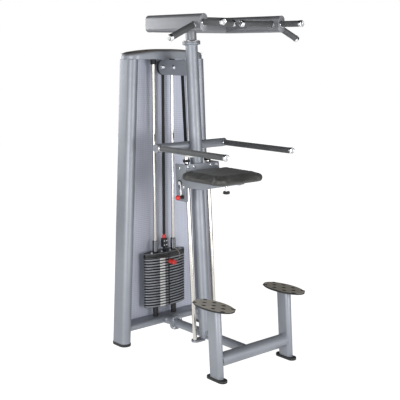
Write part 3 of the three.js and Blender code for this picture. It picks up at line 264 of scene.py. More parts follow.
# Each finish with its material slot
finishes = {
    "silver": (powderCoat("silverPowderCoat", "#8d9199", "#989ca4", 0.42, 0.48), "silver_paint"),
    # shade: a darker copy of the silver coat, painted shade for the arms and the crossbar
    "shade": (powderCoat("silverCoatPaintedShade", "#84868b", "#8f9196", 0.3, 0.38), "dark_paint"),
    "tread": (powderCoat("platformPowderCoat", "#b3ada3", "#beb8ad", 0.2, 0.5), "dark_paint"),
    # crown: the silver coat made darker, painted shade on the cap's upward faces
    "crown": (powderCoat("capTopPaintedShade", "#7b7672", "#85807c", 0.25, 0.45), "silver_paint"),
    "panel": (perforatedPanelPaint("perforatedPanelPaint", "#d3d7e6", "#dbdfee", "#bdc1cf"), "panel_paint"),
    "chrome": (hardChrome("hardChrome", "#dadbdd"), "chrome"),
    "rodChrome": (hardChrome("groundRodChrome", "#cbc8c2"), "chrome"),
    "zinc": (hardChrome("zincPlate", "#c9cbcf", 0.25), "chrome"),
    "darkSteel": (hardChrome("blackenedSteel", "#77797d", 0.2), "black_steel"),
    "grip": (gripSleeve("nitrileGripSleeve", "#4a4c4e", "#585a5c"), "grip_rubber"),
    "rubber": (mouldedPlastic("mouldedRubber", "#191a1b", "#232425", 0.6, 2.2), "black_rubber"),
    "nylon": (mouldedPlastic("blackNylon", "#161718", "#1e1f20", 0.35), "black_rubber"),
    "whiteNylon": (mouldedPlastic("whiteNylon", "#e0e1e0", "#eeefed", 0.4), "white_plastic"),
    "red": (mouldedPlastic("redPhenolic", "#d92d28", "#e8403a", 0.25), "red_plastic"),
    "iron": (castPlatePaint("plateEnamel", "#141516", "#202224"), "black_steel"),
    # rim: grey enamel that is a painted highlight along the plate rims
    "rim": (castPlatePaint("plateRimPaintedHighlight", "#7d8086", "#92959b"), "black_steel"),
    "vinyl": (upholsteryVinyl("upholsteryVinyl", "#343433", "#424240"), "charcoal_vinyl"),
    "belt": (wovenBelt("wovenBelt", "#0f1011", "#1d1e20"), "belt_black"),
    "cordSkin": (mouldedPlastic("coiledCordSkin", "#a2977f", "#b3a88f", 0.5), "belt_black"),
}
print("stage: finishes made")


# Modelling helpers
def deselectAll():
    if bpy.context.object and bpy.context.object.mode != "OBJECT":
        bpy.ops.object.mode_set(mode="OBJECT")
    bpy.ops.object.select_all(action="DESELECT")


def grab(piece):
    # selects one piece alone and makes it the active one
    deselectAll()
    piece.select_set(True)
    bpy.context.view_layer.objects.active = piece


def activePiece(name):
    piece = bpy.context.object
    piece.name = name
    return piece


def discard(*pieces):
    for piece in pieces:
        bpy.data.objects.remove(piece, do_unlink=True)


def startEdit(piece):
    grab(piece)
    bpy.ops.object.mode_set(mode="EDIT")
    bpy.ops.mesh.select_mode(type="VERT")
    bpy.ops.mesh.select_all(action="SELECT")


def endEdit(turnOut=False):
    if turnOut:
        bpy.ops.mesh.select_all(action="SELECT")
        bpy.ops.mesh.normals_make_consistent(inside=False)
    bpy.ops.object.mode_set(mode="OBJECT")


def extrude(move):
    bpy.ops.mesh.extrude_region_move(TRANSFORM_OT_translate={"value": move})


def pick(piece, kind, test):
    # in edit mode, selects the vertices, edges or faces that pass the test
    bpy.ops.mesh.select_mode(type=kind)
    bpy.ops.mesh.select_all(action="DESELECT")
    shape = bmesh.from_edit_mesh(piece.data)
    for item in {"VERT": shape.verts, "EDGE": shape.edges, "FACE": shape.faces}[kind]:
        item.select_set(bool(test(item)))
    shape.select_flush_mode()
    bmesh.update_edit_mesh(piece.data)


def applyPlace(piece):
    grab(piece)
    bpy.ops.object.transform_apply(location=True, rotation=True, scale=True)
    return piece


def moved(piece, x, y, z):
    piece.location = mm(x, y, z)
    return applyPlace(piece)


def applyModifier(piece, kind, **settings):
    grab(piece)
    modifier = piece.modifiers.new(kind.title(), kind)
    for key, value in settings.items():
        setattr(modifier, key, value)
    bpy.ops.object.modifier_apply(modifier=modifier.name)
    return piece


def bevelled(piece, width, segments=2, angle=35):
    width, limit = width * metre, math.radians(angle)
    return applyModifier(piece, "BEVEL", width=width, segments=segments, limit_method="ANGLE", angle_limit=limit)


def turned(name, profile, count=48):
    # a round piece about z, drawn out of a disc by extruding and scaling; profile is radius and height
    deselectAll()
    radius, height = profile[0]
    place = mm(0, 0, height)
    bpy.ops.mesh.primitive_circle_add(vertices=count, radius=radius * metre, fill_type="NGON", location=place)
    piece = applyPlace(activePiece(name))
    startEdit(piece)
    bpy.ops.mesh.select_mode(type="FACE")
    for nextRadius, nextHeight in profile[1:]:
        extrude(mm(0, 0, nextHeight - height))
        grow = nextRadius / radius
        bpy.ops.transform.resize(value=(grow, grow, 1), center_override=mm(0, 0, nextHeight))
        radius, height = nextRadius, nextHeight
    endEdit(turnOut=True)
    return piece


def chamfered(radius, length, edge=1.5):
    # the profile of a disc with both edges taken off
    return [(radius - edge, 0), (radius, edge), (radius, length - edge), (radius - edge, length)]


def flatOval(name, width, depth, length, count=64):
    # flat-oval tube along z: a round bar whose two halves are drawn apart
    narrow = min(width, depth)
    draw = mm((width - narrow) / 2, (depth - narrow) / 2, 0)
    piece = turned(name, [(narrow / 2, 0), (narrow / 2, length)], count)
    startEdit(piece)
    for side in (-1, 1):
        pick(piece, "VERT", lambda v: side * (v.co.x if draw.x else v.co.y) > 1e-6)
        bpy.ops.transform.translate(value=draw * side)
    endEdit()
    return piece


def layAlong(piece, start, way, across=None):
    # turns a piece built along z so that it runs from start along a direction
    along = way.normalized()
    if across is None:
        across = xAxis if abs(along.x) < 0.9 else yAxis
    upright = along.cross(across).normalized()
    turn = Matrix((upright.cross(along), upright, along)).transposed().to_4x4()
    piece.matrix_world = Matrix.Translation(start * metre) @ turn
    return applyPlace(piece)


def roundBar(name, size, start, way, length, count=64):
    return layAlong(turned(name, [(size / 2, 0), (size / 2, length)], count), start, way)


def rakedBar(name, size, low, high, x=0, count=64):
    # a round bar on the column's lean between two heights of its axis
    return roundBar(name, size, columnAt(low, x), rakeUp, (high - low) / rakeUp.z, count)


def leaningTube(name, width, depth, low, high, axis, count=64):
    # a flat-oval tube round a leaning axis, cut level at two heights and closed there
    over = 30
    start, end = axis(low - over), axis(high + over)
    tube = flatOval(name, width, depth, (end - start).length, count)
    startEdit(layAlong(tube, start, end - start))
    for height, above in ((low, True), (high, False)):
        bpy.ops.mesh.select_all(action="SELECT")
        place = mm(0, 0, height)
        bpy.ops.mesh.bisect(plane_co=place, plane_no=zAxis, use_fill=True, clear_inner=above, clear_outer=not above)
    endEdit()
    return tube


def ring(name, radius, thick, count, around):
    deselectAll()
    bpy.ops.mesh.primitive_torus_add(
        major_radius=radius * metre, minor_radius=thick * metre, major_segments=count, minor_segments=around
    )
    return activePiece(name)


def stretched(piece, y, z=1):
    startEdit(piece)
    bpy.ops.transform.resize(value=(1, y, z), center_override=(0, 0, 0))
    endEdit()
    return piece


def box(name, low, high, width=0, segments=2):
    # a bar or plate between two corners, with its edges bevelled
    deselectAll()
    low, high = mm(*low), mm(*high)
    bpy.ops.mesh.primitive_cube_add(size=1, location=(low + high) / 2)
    piece = activePiece(name)
    piece.scale = high - low
    applyPlace(piece)
    return bevelled(piece, width, segments) if width else piece


def cutWith(piece, cutter, operation="DIFFERENCE"):
    applyModifier(piece, "BOOLEAN", operation=operation, object=cutter, solver="EXACT")
    discard(cutter)
    return piece


def bored(piece, size, z, x=0, count=64):
    # cuts a hole on the column's lean through a piece near a height
    reach = 120
    return cutWith(piece, rakedBar("boreCutter", size, z - reach, z + reach, x, count))


def joined(name, pieces):
    deselectAll()
    for piece in pieces:
        piece.select_set(True)
    bpy.context.view_layer.objects.active = pieces[0]
    if len(pieces) > 1:
        bpy.ops.object.join()
    return activePiece(name)


def copyOf(piece, name, x, y, z):
    twin = bpy.data.objects.new(name, piece.data.copy())
    scene.collection.objects.link(twin)
    return moved(twin, x, y, z)


def finishPiece(piece, body, finish, node=None, angle=35):
    # gives a piece its material, smoothing, body and the node that it stands for
    grab(piece)
    bpy.ops.object.shade_smooth_by_angle(angle=math.radians(angle))
    material, slot = finishes[finish]
    piece.data.materials.clear()
    piece.data.materials.append(material)
    if body:
        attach(piece, body)
    if node:
        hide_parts(node)
    return piece


def coatFaces(piece, finish, test):
    # a second finish on the faces that pass the test
    piece.data.materials.append(finishes[finish][0])
    startEdit(piece)
    pick(piece, "FACE", test)
    piece.active_material_index = 1
    bpy.ops.object.material_slot_assign()
    endEdit()


def outline(name, points, low, high, axis="x", width=0, segments=2):
    # a flat plate with a drawn outline, extruded; the points are the two coordinates across the axis
    deselectAll()
    bpy.ops.mesh.primitive_circle_add(vertices=len(points), radius=1, fill_type="NGON")
    piece = activePiece(name)
    spot = "xyz".index(axis)
    for vertex, point in zip(piece.data.vertices, points):
        vertex.co = mm(*point[:spot], low, *point[spot:])
    startEdit(piece)
    extrude(mm(*[(high - low) * (index == spot) for index in range(3)]))
    endEdit(turnOut=True)
    return bevelled(piece, width, segments) if width else piece


def span(side, inner, outer):
    return sorted((side * inner, side * outer))


def roundCorners(corners, steps=6):
    # points of a closed outline from corners given as first, second and radius
    points = []
    for index, (a, b, radius) in enumerate(corners):
        here = Vector((a, b))
        before, after = Vector(corners[index - 1][:2]), Vector(corners[(index + 1) % len(corners)][:2])
        first = here + (before - here).normalized() * radius
        last = here + (after - here).normalized() * radius
        for step in range(steps + 1):
            t = step / steps
            points.append(tuple(first * (1 - t) ** 2 + here * 2 * t * (1 - t) + last * t * t))
    return points


def arcPoints(a, b, radius, start, stop, steps=16):
    turns = [math.radians(start + (stop - start) * step / steps) for step in range(steps + 1)]
    return [(a + radius * math.cos(turn), b + radius * math.sin(turn)) for turn in turns]


# Bolt heads: width across the flats, height, and whether there is a washer
boltKinds = {
    "flange": (16, 8, True), "plate": (14, 8, True), "clamp": (9, 4, False), "collar": (11, 6, True),
    "axle": (24, 11, True), "hinge": (20, 7, True), "block": (16, 5.2, True), "cross": (16, 7, True),
}


def hexBolt(name, place, way, kind):
    # zinc hex head on a washer, standing out along a direction
    size, height, washer = boltKinds[kind]
    corner = size * 0.577
    parts = [turned(name, [(size * 0.5, 0), (corner, 0.4), (corner, height * 0.8), (size * 0.48, height)], 6)]
    if washer:
        parts.append(turned(name, [(size * 0.72, -0.2), (size * 0.72, 1.4), (size * 0.66, 1.9)], 24))
    return layAlong(joined(name, parts), Vector(place), way)


def bolted(name, body, heads):
    return finishPiece(joined(name, heads), body, "zinc")


# Welds: faces along the ring and around its bead, height of a ripple, and how near to its line a face has to be
weld = {"count": 72, "around": 8, "ripple": 0.5, "near": 0.9994}


def weldBead(name, place, way, radius, thick=3.5):
    # a rippled fillet weld round a tube
    piece = ring(name, radius, thick, weld["count"], weld["around"])
    startEdit(piece)
    for ripple in range(0, weld["count"], 2):
        turn = 2 * math.pi * (ripple + 0.5) / weld["count"]
        out = at(math.cos(turn), math.sin(turn), 0)
        pick(piece, "FACE", lambda f: f.calc_center_median().normalized().dot(out) > weld["near"])
        bpy.ops.transform.translate(value=out * weld["ripple"] * metre)
    endEdit()
    return layAlong(piece, place, way)


print("stage: tools ready")

# Base
base = {
    "footLength": 165, "footWidth": 62, "footHeight": 18, "footCrown": 1.5, "footInset": 2.5,
    "legWidth": 50, "legDepth": 106, "seatWidth": 86, "seatDepth": 142, "seatThickness": 6,
    "frontTube": 88, "frontTubeZ": 124, "spine": 60, "spineZ": 112, "spineGap": 30,
    "flangeY": 352, "flange": 100, "flangeRound": 46, "flangeThickness": 9, "boltPitch": 56,
    "beamDepth": 120, "beamHeight": 50, "beamZ": 120, "stub": 30, "stubNeck": 33, "stubEnd": 42,
    "platformLength": 350, "platformWidth": 165, "platformRim": 7, "platformRimHeight": 12, "sheet": 5,
    "slotLength": 22, "slotWidth": 34, "slotRow": 88, "slotPitch": 44, "plugFit": 0.8,
}


def makeUpright(name, side):
    x, thick = side * machine["legX"], base["seatThickness"]
    top = machine["platformTop"] - base["sheet"]

    def axis(z):
        return at(x, legY(z), z)

    tube = leaningTube(name, base["legWidth"], base["legDepth"], base["footHeight"], top - 1, axis)
    seat = bevelled(flatOval(name + "Seat", base["seatWidth"], base["seatDepth"], thick), 1.5)
    moved(seat, x, machine["platformMiddleY"], top - thick)
    return joined(name, [bevelled(tube, 1), seat])


def makeFoot(name, width, length, height):
    foot = flatOval(name, width, length, height, 96)
    startEdit(foot)
    pick(foot, "FACE", lambda f: len(f.verts) > 4 and f.calc_center_median().z > 1e-4)
    bpy.ops.mesh.inset(thickness=base["footInset"] * metre)
    bpy.ops.transform.translate(value=mm(0, 0, base["footCrown"]))
    endEdit()
    return bevelled(foot, 2.5, 3)


def makePlatform(name):
    # an oval tread with staggered holes, and the rubber mat that fills them with the trim round both
    halfX, halfY = base["platformWidth"] / 2, base["platformLength"] / 2
    thick, rimWidth, rimHeight, fit = base["sheet"], base["platformRim"], base["platformRimHeight"], base["plugFit"]

    def ovalDisc(inset, low, high):
        disc = turned(name, [(halfX - inset, low), (halfX - inset, high)], 96)
        return stretched(disc, (halfY - inset) / (halfX - inset))

    sheet = ovalDisc(3, -thick, 0)
    slot = flatOval("slotCutter", base["slotLength"], base["slotWidth"], 3 * thick, 24)
    plug = flatOval("platformPlug", base["slotLength"] - fit, base["slotWidth"] - fit, thick, 24)
    cutters, plugs = [], []
    for line in (-1, 0, 1):
        for row in (-1.5, -0.5, 0.5, 1.5) if line else (-1, 0, 1):
            x, y = line * base["slotPitch"], row * base["slotRow"]
            cutters.append(copyOf(slot, "slotCutter", x, y, -2 * thick))
            plugs.append(copyOf(plug, "platformPlug", x, y, -thick - 0.6))
    discard(slot, plug)
    bevelled(cutWith(sheet, joined("slotCutter", cutters)), 0.8, 1)
    rim = stretched(ring(name, halfX - rimWidth / 2, rimWidth / 2, 96, 12), halfY / halfX, rimHeight / rimWidth)
    moved(rim, 0, 0, -rimHeight / 2)
    back = ovalDisc(8, -thick - 2, -thick - 0.3)
    return sheet, joined(name + "Trim", [rim, back] + plugs)


def makeFlange(name, y, side):
    # round-cornered flange, and four zinc bolts on one face of it
    half, corner, z, thick = base["flange"] / 2, base["flangeRound"], base["spineZ"], base["flangeThickness"]
    corners = [(x * half, z + up * half, corner) for x, up in ((1, 1), (-1, 1), (-1, -1), (1, -1))]
    plate = outline(name, roundCorners(corners), y, y + thick, "y", 1.2)
    apart, face = base["boltPitch"] / 2, y if side < 0 else y + thick
    places = [(x * apart, face, z + up * apart) for x in (-1, 1) for up in (-1, 1)]
    return plate, [hexBolt(name + "Bolt", place, yAxis * side, "flange") for place in places]


def buildFrontBase():
    foot = makeFoot("frontFootLeft", base["footWidth"], base["footLength"], base["footHeight"] - base["footCrown"])
    tread, trim = makePlatform("platform")
    for label, side in sides:
        x, name = side * machine["legX"], label.title()
        top = (x, machine["platformMiddleY"], machine["platformTop"])
        rubber = copyOf(foot, "frontFoot" + name, x, legY(base["footHeight"]), 0)
        finishPiece(rubber, "frame", "rubber", f"front_foot_{label}")
        finishPiece(makeUpright("frontUpright" + name, side), "frame", "silver", f"front_upright_{label}")
        finishPiece(copyOf(tread, "platform" + name, *top), "frame", "tread", f"platform_{label}")
        finishPiece(copyOf(trim, "platformTrim" + name, *top), "frame", "rubber")
    discard(foot, tread, trim)
    y, z, size = legY(base["frontTubeZ"]), base["frontTubeZ"], base["frontTube"]
    inner = machine["legX"] - base["legWidth"] / 2
    parts = [roundBar("frontCrossTube", size, at(-inner - 2, y, z), xAxis, 2 * inner + 4)]
    parts += [weldBead("frontCrossTube", at(side * (inner - 0.5), y, z), xAxis, size / 2) for side in (-1, 1)]
    finishPiece(joined("frontCrossTube", parts), "frame", "silver", "front_cross_tube")


def makeSpine(name, start, stop, back, thick):
    # one length of the spine with the weld near its rear end
    z, size = base["spineZ"], base["spine"]
    tube = roundBar(name, size, at(0, start, z), yAxis, stop - start, 56)
    return [tube, weldBead(name, at(0, stop - back, z), yAxis, size / 2, thick)]


def buildRearBase():
    z, gap, low = base["spineZ"], base["spineGap"], base["beamZ"]
    start = legY(base["frontTubeZ"]) + base["frontTube"] / 2 - 14
    parts = makeSpine("spineFront", start, columnY(z) - gap, 8.5, 3.5)
    finishPiece(joined("spineFront", parts), "frame", "silver", "spine_front")
    parts = makeSpine("spineRear", columnY(z) + gap, base["flangeY"] + 2, 2, 4)
    plate, bolts = makeFlange("spineFlange", base["flangeY"], -1)
    finishPiece(joined("spineRear", parts + [plate]), "frame", "silver", "spine_rear")
    bolted("spineFlangeBolts", "frame", bolts)

    front = base["flangeY"] + base["flangeThickness"] + 0.3
    plate, bolts = makeFlange("beamFlange", front, 1)
    reach = postX(low) - 20
    beam = flatOval("rearBeam", base["beamDepth"], base["beamHeight"], 2 * reach)
    layAlong(beam, at(-reach, towerY, low), xAxis)
    start = front + 5
    length = towerY - base["beamDepth"] / 2 + 20 - start
    radius, neck, end = base["stub"], base["stubNeck"], base["stubEnd"]
    stub = turned("beamStub", [(radius, 0), (radius, length * 0.35), (neck, length * 0.7), (end, length)], 56)
    startEdit(stub)
    pick(stub, "VERT", lambda v: v.co.z > length * 0.9 * metre)
    bpy.ops.transform.resize(value=(1.5, 0.62, 1), center_override=(0, 0, 0))
    endEdit()
    layAlong(stub, at(0, start, z), at(0, length, 4))
    finishPiece(joined("rearBeam", [beam, stub, plate]), "frame", "silver", "rear_beam")
    bolted("beamFlangeBolts", "frame", bolts)


buildFrontBase()
buildRearBase()
print("stage: base made")

# Tower
tower = {
    "postWidth": 80, "postDepth": 150, "footHeight": 20, "footWidth": 88, "footDepth": 154,
    "capLength": 658, "capDepth": 158, "capMiddle": 2039, "capEnd": 2010, "capRound": 22,
    "panelRear": 556.5, "panelThickness": 3, "panelBottom": 118, "panelInset": 34, "lip": 14,
}


def makePost(name, side):
    def axis(z):
        return at(side * postX(z), towerY, z)

    post = leaningTube(name, tower["postWidth"], tower["postDepth"], tower["footHeight"], capUnderside, axis, 96)
    return bevelled(post, 0.8, 1, 60)


def makeCap(name):
    # the tower's moulded top: a flat-oval slab cut to an arched crown, its edge rolled over
    half, middle = tower["capLength"] / 2, tower["capMiddle"]
    slab = flatOval(name, tower["capLength"], tower["capDepth"], middle - capUnderside + 20, 96)
    moved(slab, 0, towerY, capUnderside)
    rise = middle - tower["capEnd"]
    radius = (half**2 + rise**2) / (2 * rise)
    spread = math.degrees(math.asin(half / radius)) * 1.08
    low = capUnderside - 30
    points = arcPoints(0, middle - radius, radius, 90 - spread, 90 + spread, 48)
    points += [(-half - 60, low), (half + 60, low)]
    cutWith(slab, outline("archFormer", points, towerY - 150, towerY + 150, "y"), "INTERSECT")
    startEdit(slab)
    foot = (capUnderside + 5) * metre
    pick(slab, "EDGE", lambda e: e.calc_face_angle(0) > 0.9 and min(v.co.z for v in e.verts) > foot)
    bpy.ops.mesh.bevel(offset=tower["capRound"] * metre, segments=6, affect="EDGES")
    endEdit()
    return bevelled(slab, 2.5, 2, 60)


def makePanel(name):
    low, high, rear = tower["panelBottom"], capUnderside - 0.3, tower["panelRear"]
    wide, narrow = postX(low) - tower["panelInset"], postX(high) - tower["panelInset"]
    front = rear - tower["panelThickness"]
    sheet = outline(name, [(-wide, low), (wide, low), (narrow, high), (-narrow, high)], front, rear, "y", 0.5, 1)
    lip = box("panelLip", (-wide, front, low), (wide, front + tower["lip"], low + tower["panelThickness"]), 0.8, 1)
    return joined(name, [sheet, lip])


def buildTower():
    foot = makeFoot("towerFoot", tower["footWidth"], tower["footDepth"], tower["footHeight"] - base["footCrown"])
    for label, side in sides:
        name, x = label.title(), side * postX(tower["footHeight"])
        finishPiece(copyOf(foot, "towerFoot" + name, x, towerY, 0), "frame", "rubber", f"tower_foot_{label}")
        finishPiece(makePost("towerPost" + name, side), "frame", "silver", f"tower_post_{label}")
    discard(foot)
    cap = finishPiece(makeCap("towerCap"), "frame", "silver", "tower_cap", 25)
    # the upward faces of the cap take the darker copy of the silver coat: painted shade on its top
    coatFaces(cap, "crown", lambda face: face.normal.z > 0.45)
    finishPiece(makePanel("rearPanel"), "frame", "panel", "rear_panel")


buildTower()
print("stage: tower made")

# Weight stack
stack = {
    "length": 360, "depth": 110, "pitch": 20, "rim": 7.5, "bottom": 222, "resting": 16, "pinned": 2,
    "pinnedBottom": 542.3, "headBottom": 582.6, "headThickness": 34, "headRim": 4,
    "label": (-76, 44, 4, 16), "rod": 22, "rodLow": 145.3, "collar": 40, "collarHeight": 36, "bumper": 40,
    "plateBore": 26, "stemBore": 28, "sleeve": 38, "sleeveTop": 700.6, "neck": 16, "neckFoot": 28,
    "clampBottom": 642.6, "clampTop": 708.6, "clampWidth": 40, "clampDepth": 30, "nut": 26, "nutTop": 736.6,
    "boltX": (-128, -38, 38, 128), "clampBoltX": (-10, 10), "clampBoltZ": (660, 690),
    "stem": 22, "stemFoot": 234, "pin": 10, "pinZ": 552.3, "pinFace": 438, "pinOut": 12, "handle": 36,
    "handleShape": (
        (0.55, 0), (0.85, 1.5), (1, 6), (0.96, 16), (0.9, 30), (0.97, 42), (1, 51), (0.9, 56), (0.7, 58),
    ),
    "shaftShape": ((10, 0), (10, 11), (5, 11.7), (5, 76), (2, 78)),
}


def standing(name, profile, x=0, count=32):
    # a turned piece upright in the tower's middle plane
    return moved(turned(name, profile, count), x, towerY, 0)


def makeWeightPlate(name, thickness, rim):
    # an oval cast plate with a bull-nosed rim, three bores and the pin's hole
    radius, rodX = stack["length"] / 2, machine["rodX"]
    plate = turned(name, [(radius, 0.15), (radius, thickness - 0.15)], 112)
    bevelled(stretched(plate, stack["depth"] / stack["length"]), rim, 5, 60)
    bores = ((-rodX, stack["plateBore"]), (0, stack["stemBore"]), (rodX, stack["plateBore"]))
    cutters = [roundBar("boreCutter", size, at(x, 0, -5), zAxis, thickness + 10, 32) for x, size in bores]
    cutters.append(roundBar("pinCutter", stack["pin"] + 1.2, at(0, -60, thickness / 2), yAxis, 60, 24))
    return cutWith(plate, joined("plateCutter", cutters))


def paintRimHighlight(plates, low, high):
    # the faces of the rims that lean between two amounts are painted grey, a painted highlight band along each rim
    halfX, halfY = stack["length"] * metre / 2, stack["depth"] * metre / 2

    def onRim(face):
        middle = face.calc_center_median() - mm(0, towerY, 0)
        return low <= abs(face.normal.z) < high and math.hypot(middle.x / halfX, middle.y / halfY) > 0.92

    coatFaces(plates, "rim", onRim)


def makeLabel(name):
    # a plain white number tag without a number, bent round the rim of a plate
    halfX, halfY = stack["length"] / 2, stack["depth"] / 2
    start, width, low, high = stack["label"]
    places = [start + width * step / 6 for step in range(7)]
    front = [(x, -halfY * math.sqrt(1 - (x / halfX) ** 2) - 0.4) for x in places]
    return outline(name, front + [(x, y + 4) for x, y in reversed(front)], low, high, "z", 0.8)


def buildPlates():
    plate, label = makeWeightPlate("weightPlate", stack["pitch"], stack["rim"]), makeLabel("plateLabel")
    groups = (
        ("restingWeightPlates", stack["bottom"], stack["resting"], "frame", "resting_weight_plates"),
        ("pinnedWeightPlates", stack["pinnedBottom"], stack["pinned"], "stack", "pinned_weight_plates"),
    )
    for name, bottom, count, body, node in groups:
        heights = [bottom + index * stack["pitch"] for index in range(count)]
        plates = [copyOf(plate, name, 0, towerY, z) for z in heights]
        labels = [copyOf(label, name + "Labels", 0, towerY, z) for z in heights]
        # the grey band on the plate rims is a painted highlight
        paintRimHighlight(finishPiece(joined(name, plates), body, "iron", node), 0, 0.22)
        finishPiece(joined(name + "Labels", labels), body, "whiteNylon")
    discard(plate, label)


def buildHead():
    bottom, low, high = stack["headBottom"], stack["clampBottom"], stack["clampTop"]
    top, end = bottom + stack["headThickness"], stack["sleeveTop"]
    head = moved(makeWeightPlate("headPlate", stack["headThickness"], stack["headRim"]), 0, towerY, bottom)
    sleeve, bore = stack["sleeve"] / 2, stack["rod"] / 2 + 0.5
    profile = [(bore, top), (sleeve - 3, top), (sleeve, top + 4), (sleeve, end - 3), (sleeve - 3, end), (bore, end)]
    sleeves = [standing("headSleeves", profile, side * machine["rodX"], 40) for side in (-1, 1)]
    finishPiece(joined("headSleeves", sleeves), "stack", "darkSteel")
    stem, neck, wide = stack["stem"] / 2, stack["neck"] / 2, stack["neckFoot"] / 2
    halfX, halfY = stack["clampWidth"] / 2, stack["clampDepth"] / 2
    parts = [
        head,
        standing("headPlate", [(stem, stack["stemFoot"]), (stem, bottom + 2)]),
        standing("headPlate", [(wide, top - 1), (wide, top + 8), (neck, top + 10), (neck, low + 2)]),
        box("headPlate", (-halfX, towerY - halfY, low), (halfX, towerY + halfY, high), 5, 3),
    ]
    # the grey band on the head plate's rim is a painted highlight
    paintRimHighlight(finishPiece(joined("headPlate", parts), "stack", "iron", "head_plate"), 0.2, 0.9)
    nut = stack["nut"] / 2
    nut = standing("beltNut", [(nut, high), (nut, high + 16), (nut * 2 / 3, stack["nutTop"])])
    finishPiece(bevelled(nut, 1.5), "stack", "red")
    name = "headPlateBolts"
    heads = [hexBolt(name, (x, towerY - 20, top), zAxis, "plate") for x in stack["boltX"]]
    spots = [(x, towerY - halfY, z) for z in stack["clampBoltZ"] for x in stack["clampBoltX"]]
    heads += [hexBolt(name, spot, -yAxis, "clamp") for spot in spots]
    bolted(name, "stack", heads)


def buildRods():
    radius, collar, bumper = stack["rod"] / 2, stack["collar"] / 2, stack["bumper"] / 2
    foot, seat, high = stack["rodLow"], stack["bottom"], capUnderside - 0.3
    low = high - stack["collarHeight"]
    groove, worn, waist = collar - 1.5, collar - 2, bumper - 2.5
    collarShape = [
        (radius, low), (worn, low), (collar, low + 2), (collar, low + 12), (groove, low + 13.5),
        (groove, low + 16), (collar, low + 17.5), (collar, high),
    ]
    bumperShape = [
        (bumper - 2, foot), (bumper, foot + 3), (bumper, 163), (waist, 166),
        (waist, 171), (bumper, 174), (bumper, seat - 4), (bumper - 3, seat - 0.5),
    ]
    for label, side in sides:
        name, x = label.title(), side * machine["rodX"]
        rod = standing("stackRod" + name, [(radius, foot), (radius, low + 1)], x, 40)
        finishPiece(rod, "frame", "rodChrome", f"stack_rod_{label}")
        finishPiece(standing("rodCollar" + name, collarShape, x, 40), "frame", "rubber")
        finishPiece(standing("stackBumper" + name, bumperShape, x, 40), "frame", "rubber", f"stack_bumper_{label}")


def buildSelectorPin():
    handle, z, face = stack["handle"] / 2, stack["pinZ"], stack["pinFace"] - stack["pinOut"]
    knob = turned("selectorPin", [(handle * share, along) for share, along in stack["handleShape"]])
    layAlong(knob, at(0, face - stack["handleShape"][-1][1], z), yAxis)
    finishPiece(knob, "selector_pin", "red", "selector_pin")
    shaft = layAlong(turned("selectorPinShaft", stack["shaftShape"], 32), at(0, face, z), yAxis)
    finishPiece(shaft, "selector_pin", "zinc")


buildPlates()
buildHead()
buildRods()
buildSelectorPin()
print("stage: stack made")

# Column, header and belts
column = {
    "diameter": 80, "bore": 80.6, "low": 84, "collar": 118, "collarThickness": 11, "collarZ": 2079,
    "mast": 72, "boltCircle": 49, "plateInner": 30, "plateOuter": 35, "plateRadius": 51,
    "pulleyRadius": 46, "pulleyFlange": 51, "pulleyWidth": 34, "flangeThickness": 3, "axle": 16,
    "spokes": 5, "spokeHole": 13, "spokeCircle": 25.5, "beltWidth": 25, "belt": 3, "beltLow": 1262, "beltSteps": 12,
    "bufferBack": 31, "bufferHalf": 29.7, "bufferWall": 6, "bufferSlot": 505,
}


def buildColumn():
    radius, collar, thickness = column["diameter"] / 2, column["collar"] / 2, column["collarThickness"]
    top, low, z = column["collarZ"], column["low"], machine["armMiddle"]
    under = columnAt(top) - rakeUp * (thickness + 0.15)
    foot = turned("column", [(radius - 6, 0), (radius - 1, 2), (radius - 1, 4)])
    parts = [
        rakedBar("column", column["diameter"], low, top - 1),
        layAlong(turned("column", chamfered(collar, thickness), 72), under, rakeUp),
        layAlong(foot, columnAt(low - 2.5), rakeUp),
        weldBead("column", under - rakeUp * 1.5, rakeUp, radius, 4),
    ]
    finishPiece(joined("column", parts), "frame", "silver", "column")

    over = columnAt(top) + rakeUp * 0.15
    half = machine["armX"] - machine["armWidth"] / 2 - 2
    bar = flatOval("crossbar", machine["armWidth"], machine["armHeight"], 2 * half, 72)
    parts = [
        roundBar("mast", column["mast"], over, rakeUp, (z - top) / rakeUp.z - 24),
        layAlong(turned("mast", chamfered(collar, thickness), 72), over, rakeUp),
        weldBead("mast", over + rakeUp * (thickness + 1.5), rakeUp, column["mast"] / 2, 4),
        layAlong(bar, columnAt(z, -half), xAxis),
    ]
    # the crossbar and mast take the darker copy of the silver coat as painted shade
    finishPiece(joined("pullUpCrossbar", parts), "frame", "shade", "pull_up_crossbar")
    heads = []
    for index in range(6):
        turn = math.radians(30 + 60 * index)
        around = at(math.cos(turn), math.sin(turn) * rakeUp.z, -math.sin(turn) * rakeUp.y) * column["boltCircle"]
        heads.append(hexBolt("collarBolts", over + rakeUp * thickness + around, rakeUp, "collar"))
    bolted("collarBolts", "frame", heads)


def pulleyShape(name, y):
    radius, flange, half = column["pulleyRadius"], column["pulleyFlange"], column["pulleyWidth"] / 2
    lip, bore, circle = column["flangeThickness"], column["axle"] / 2 + 0.4, column["spokeCircle"]
    halfShape = [
        (bore, -half), (15, -half), (17, 5 - half), (34, 5 - half), (37, -half), (flange - 1, -half),
        (flange, 1 - half), (flange, lip - 1 - half), (radius, lip - half),
    ]
    wheel = turned(name, halfShape + [(size, -height) for size, height in reversed(halfShape)], 64)
    cutters = []
    for spoke in range(column["spokes"]):
        turn = 2 * math.pi * spoke / column["spokes"]
        start = at(circle * math.cos(turn), circle * math.sin(turn), -40)
        cutters.append(roundBar("spokeCutter", column["spokeHole"], start, zAxis, 80, 20))
    cutWith(wheel, joined("spokeCutter", cutters))
    return layAlong(wheel, at(0, y, machine["pulleyZ"]), xAxis)


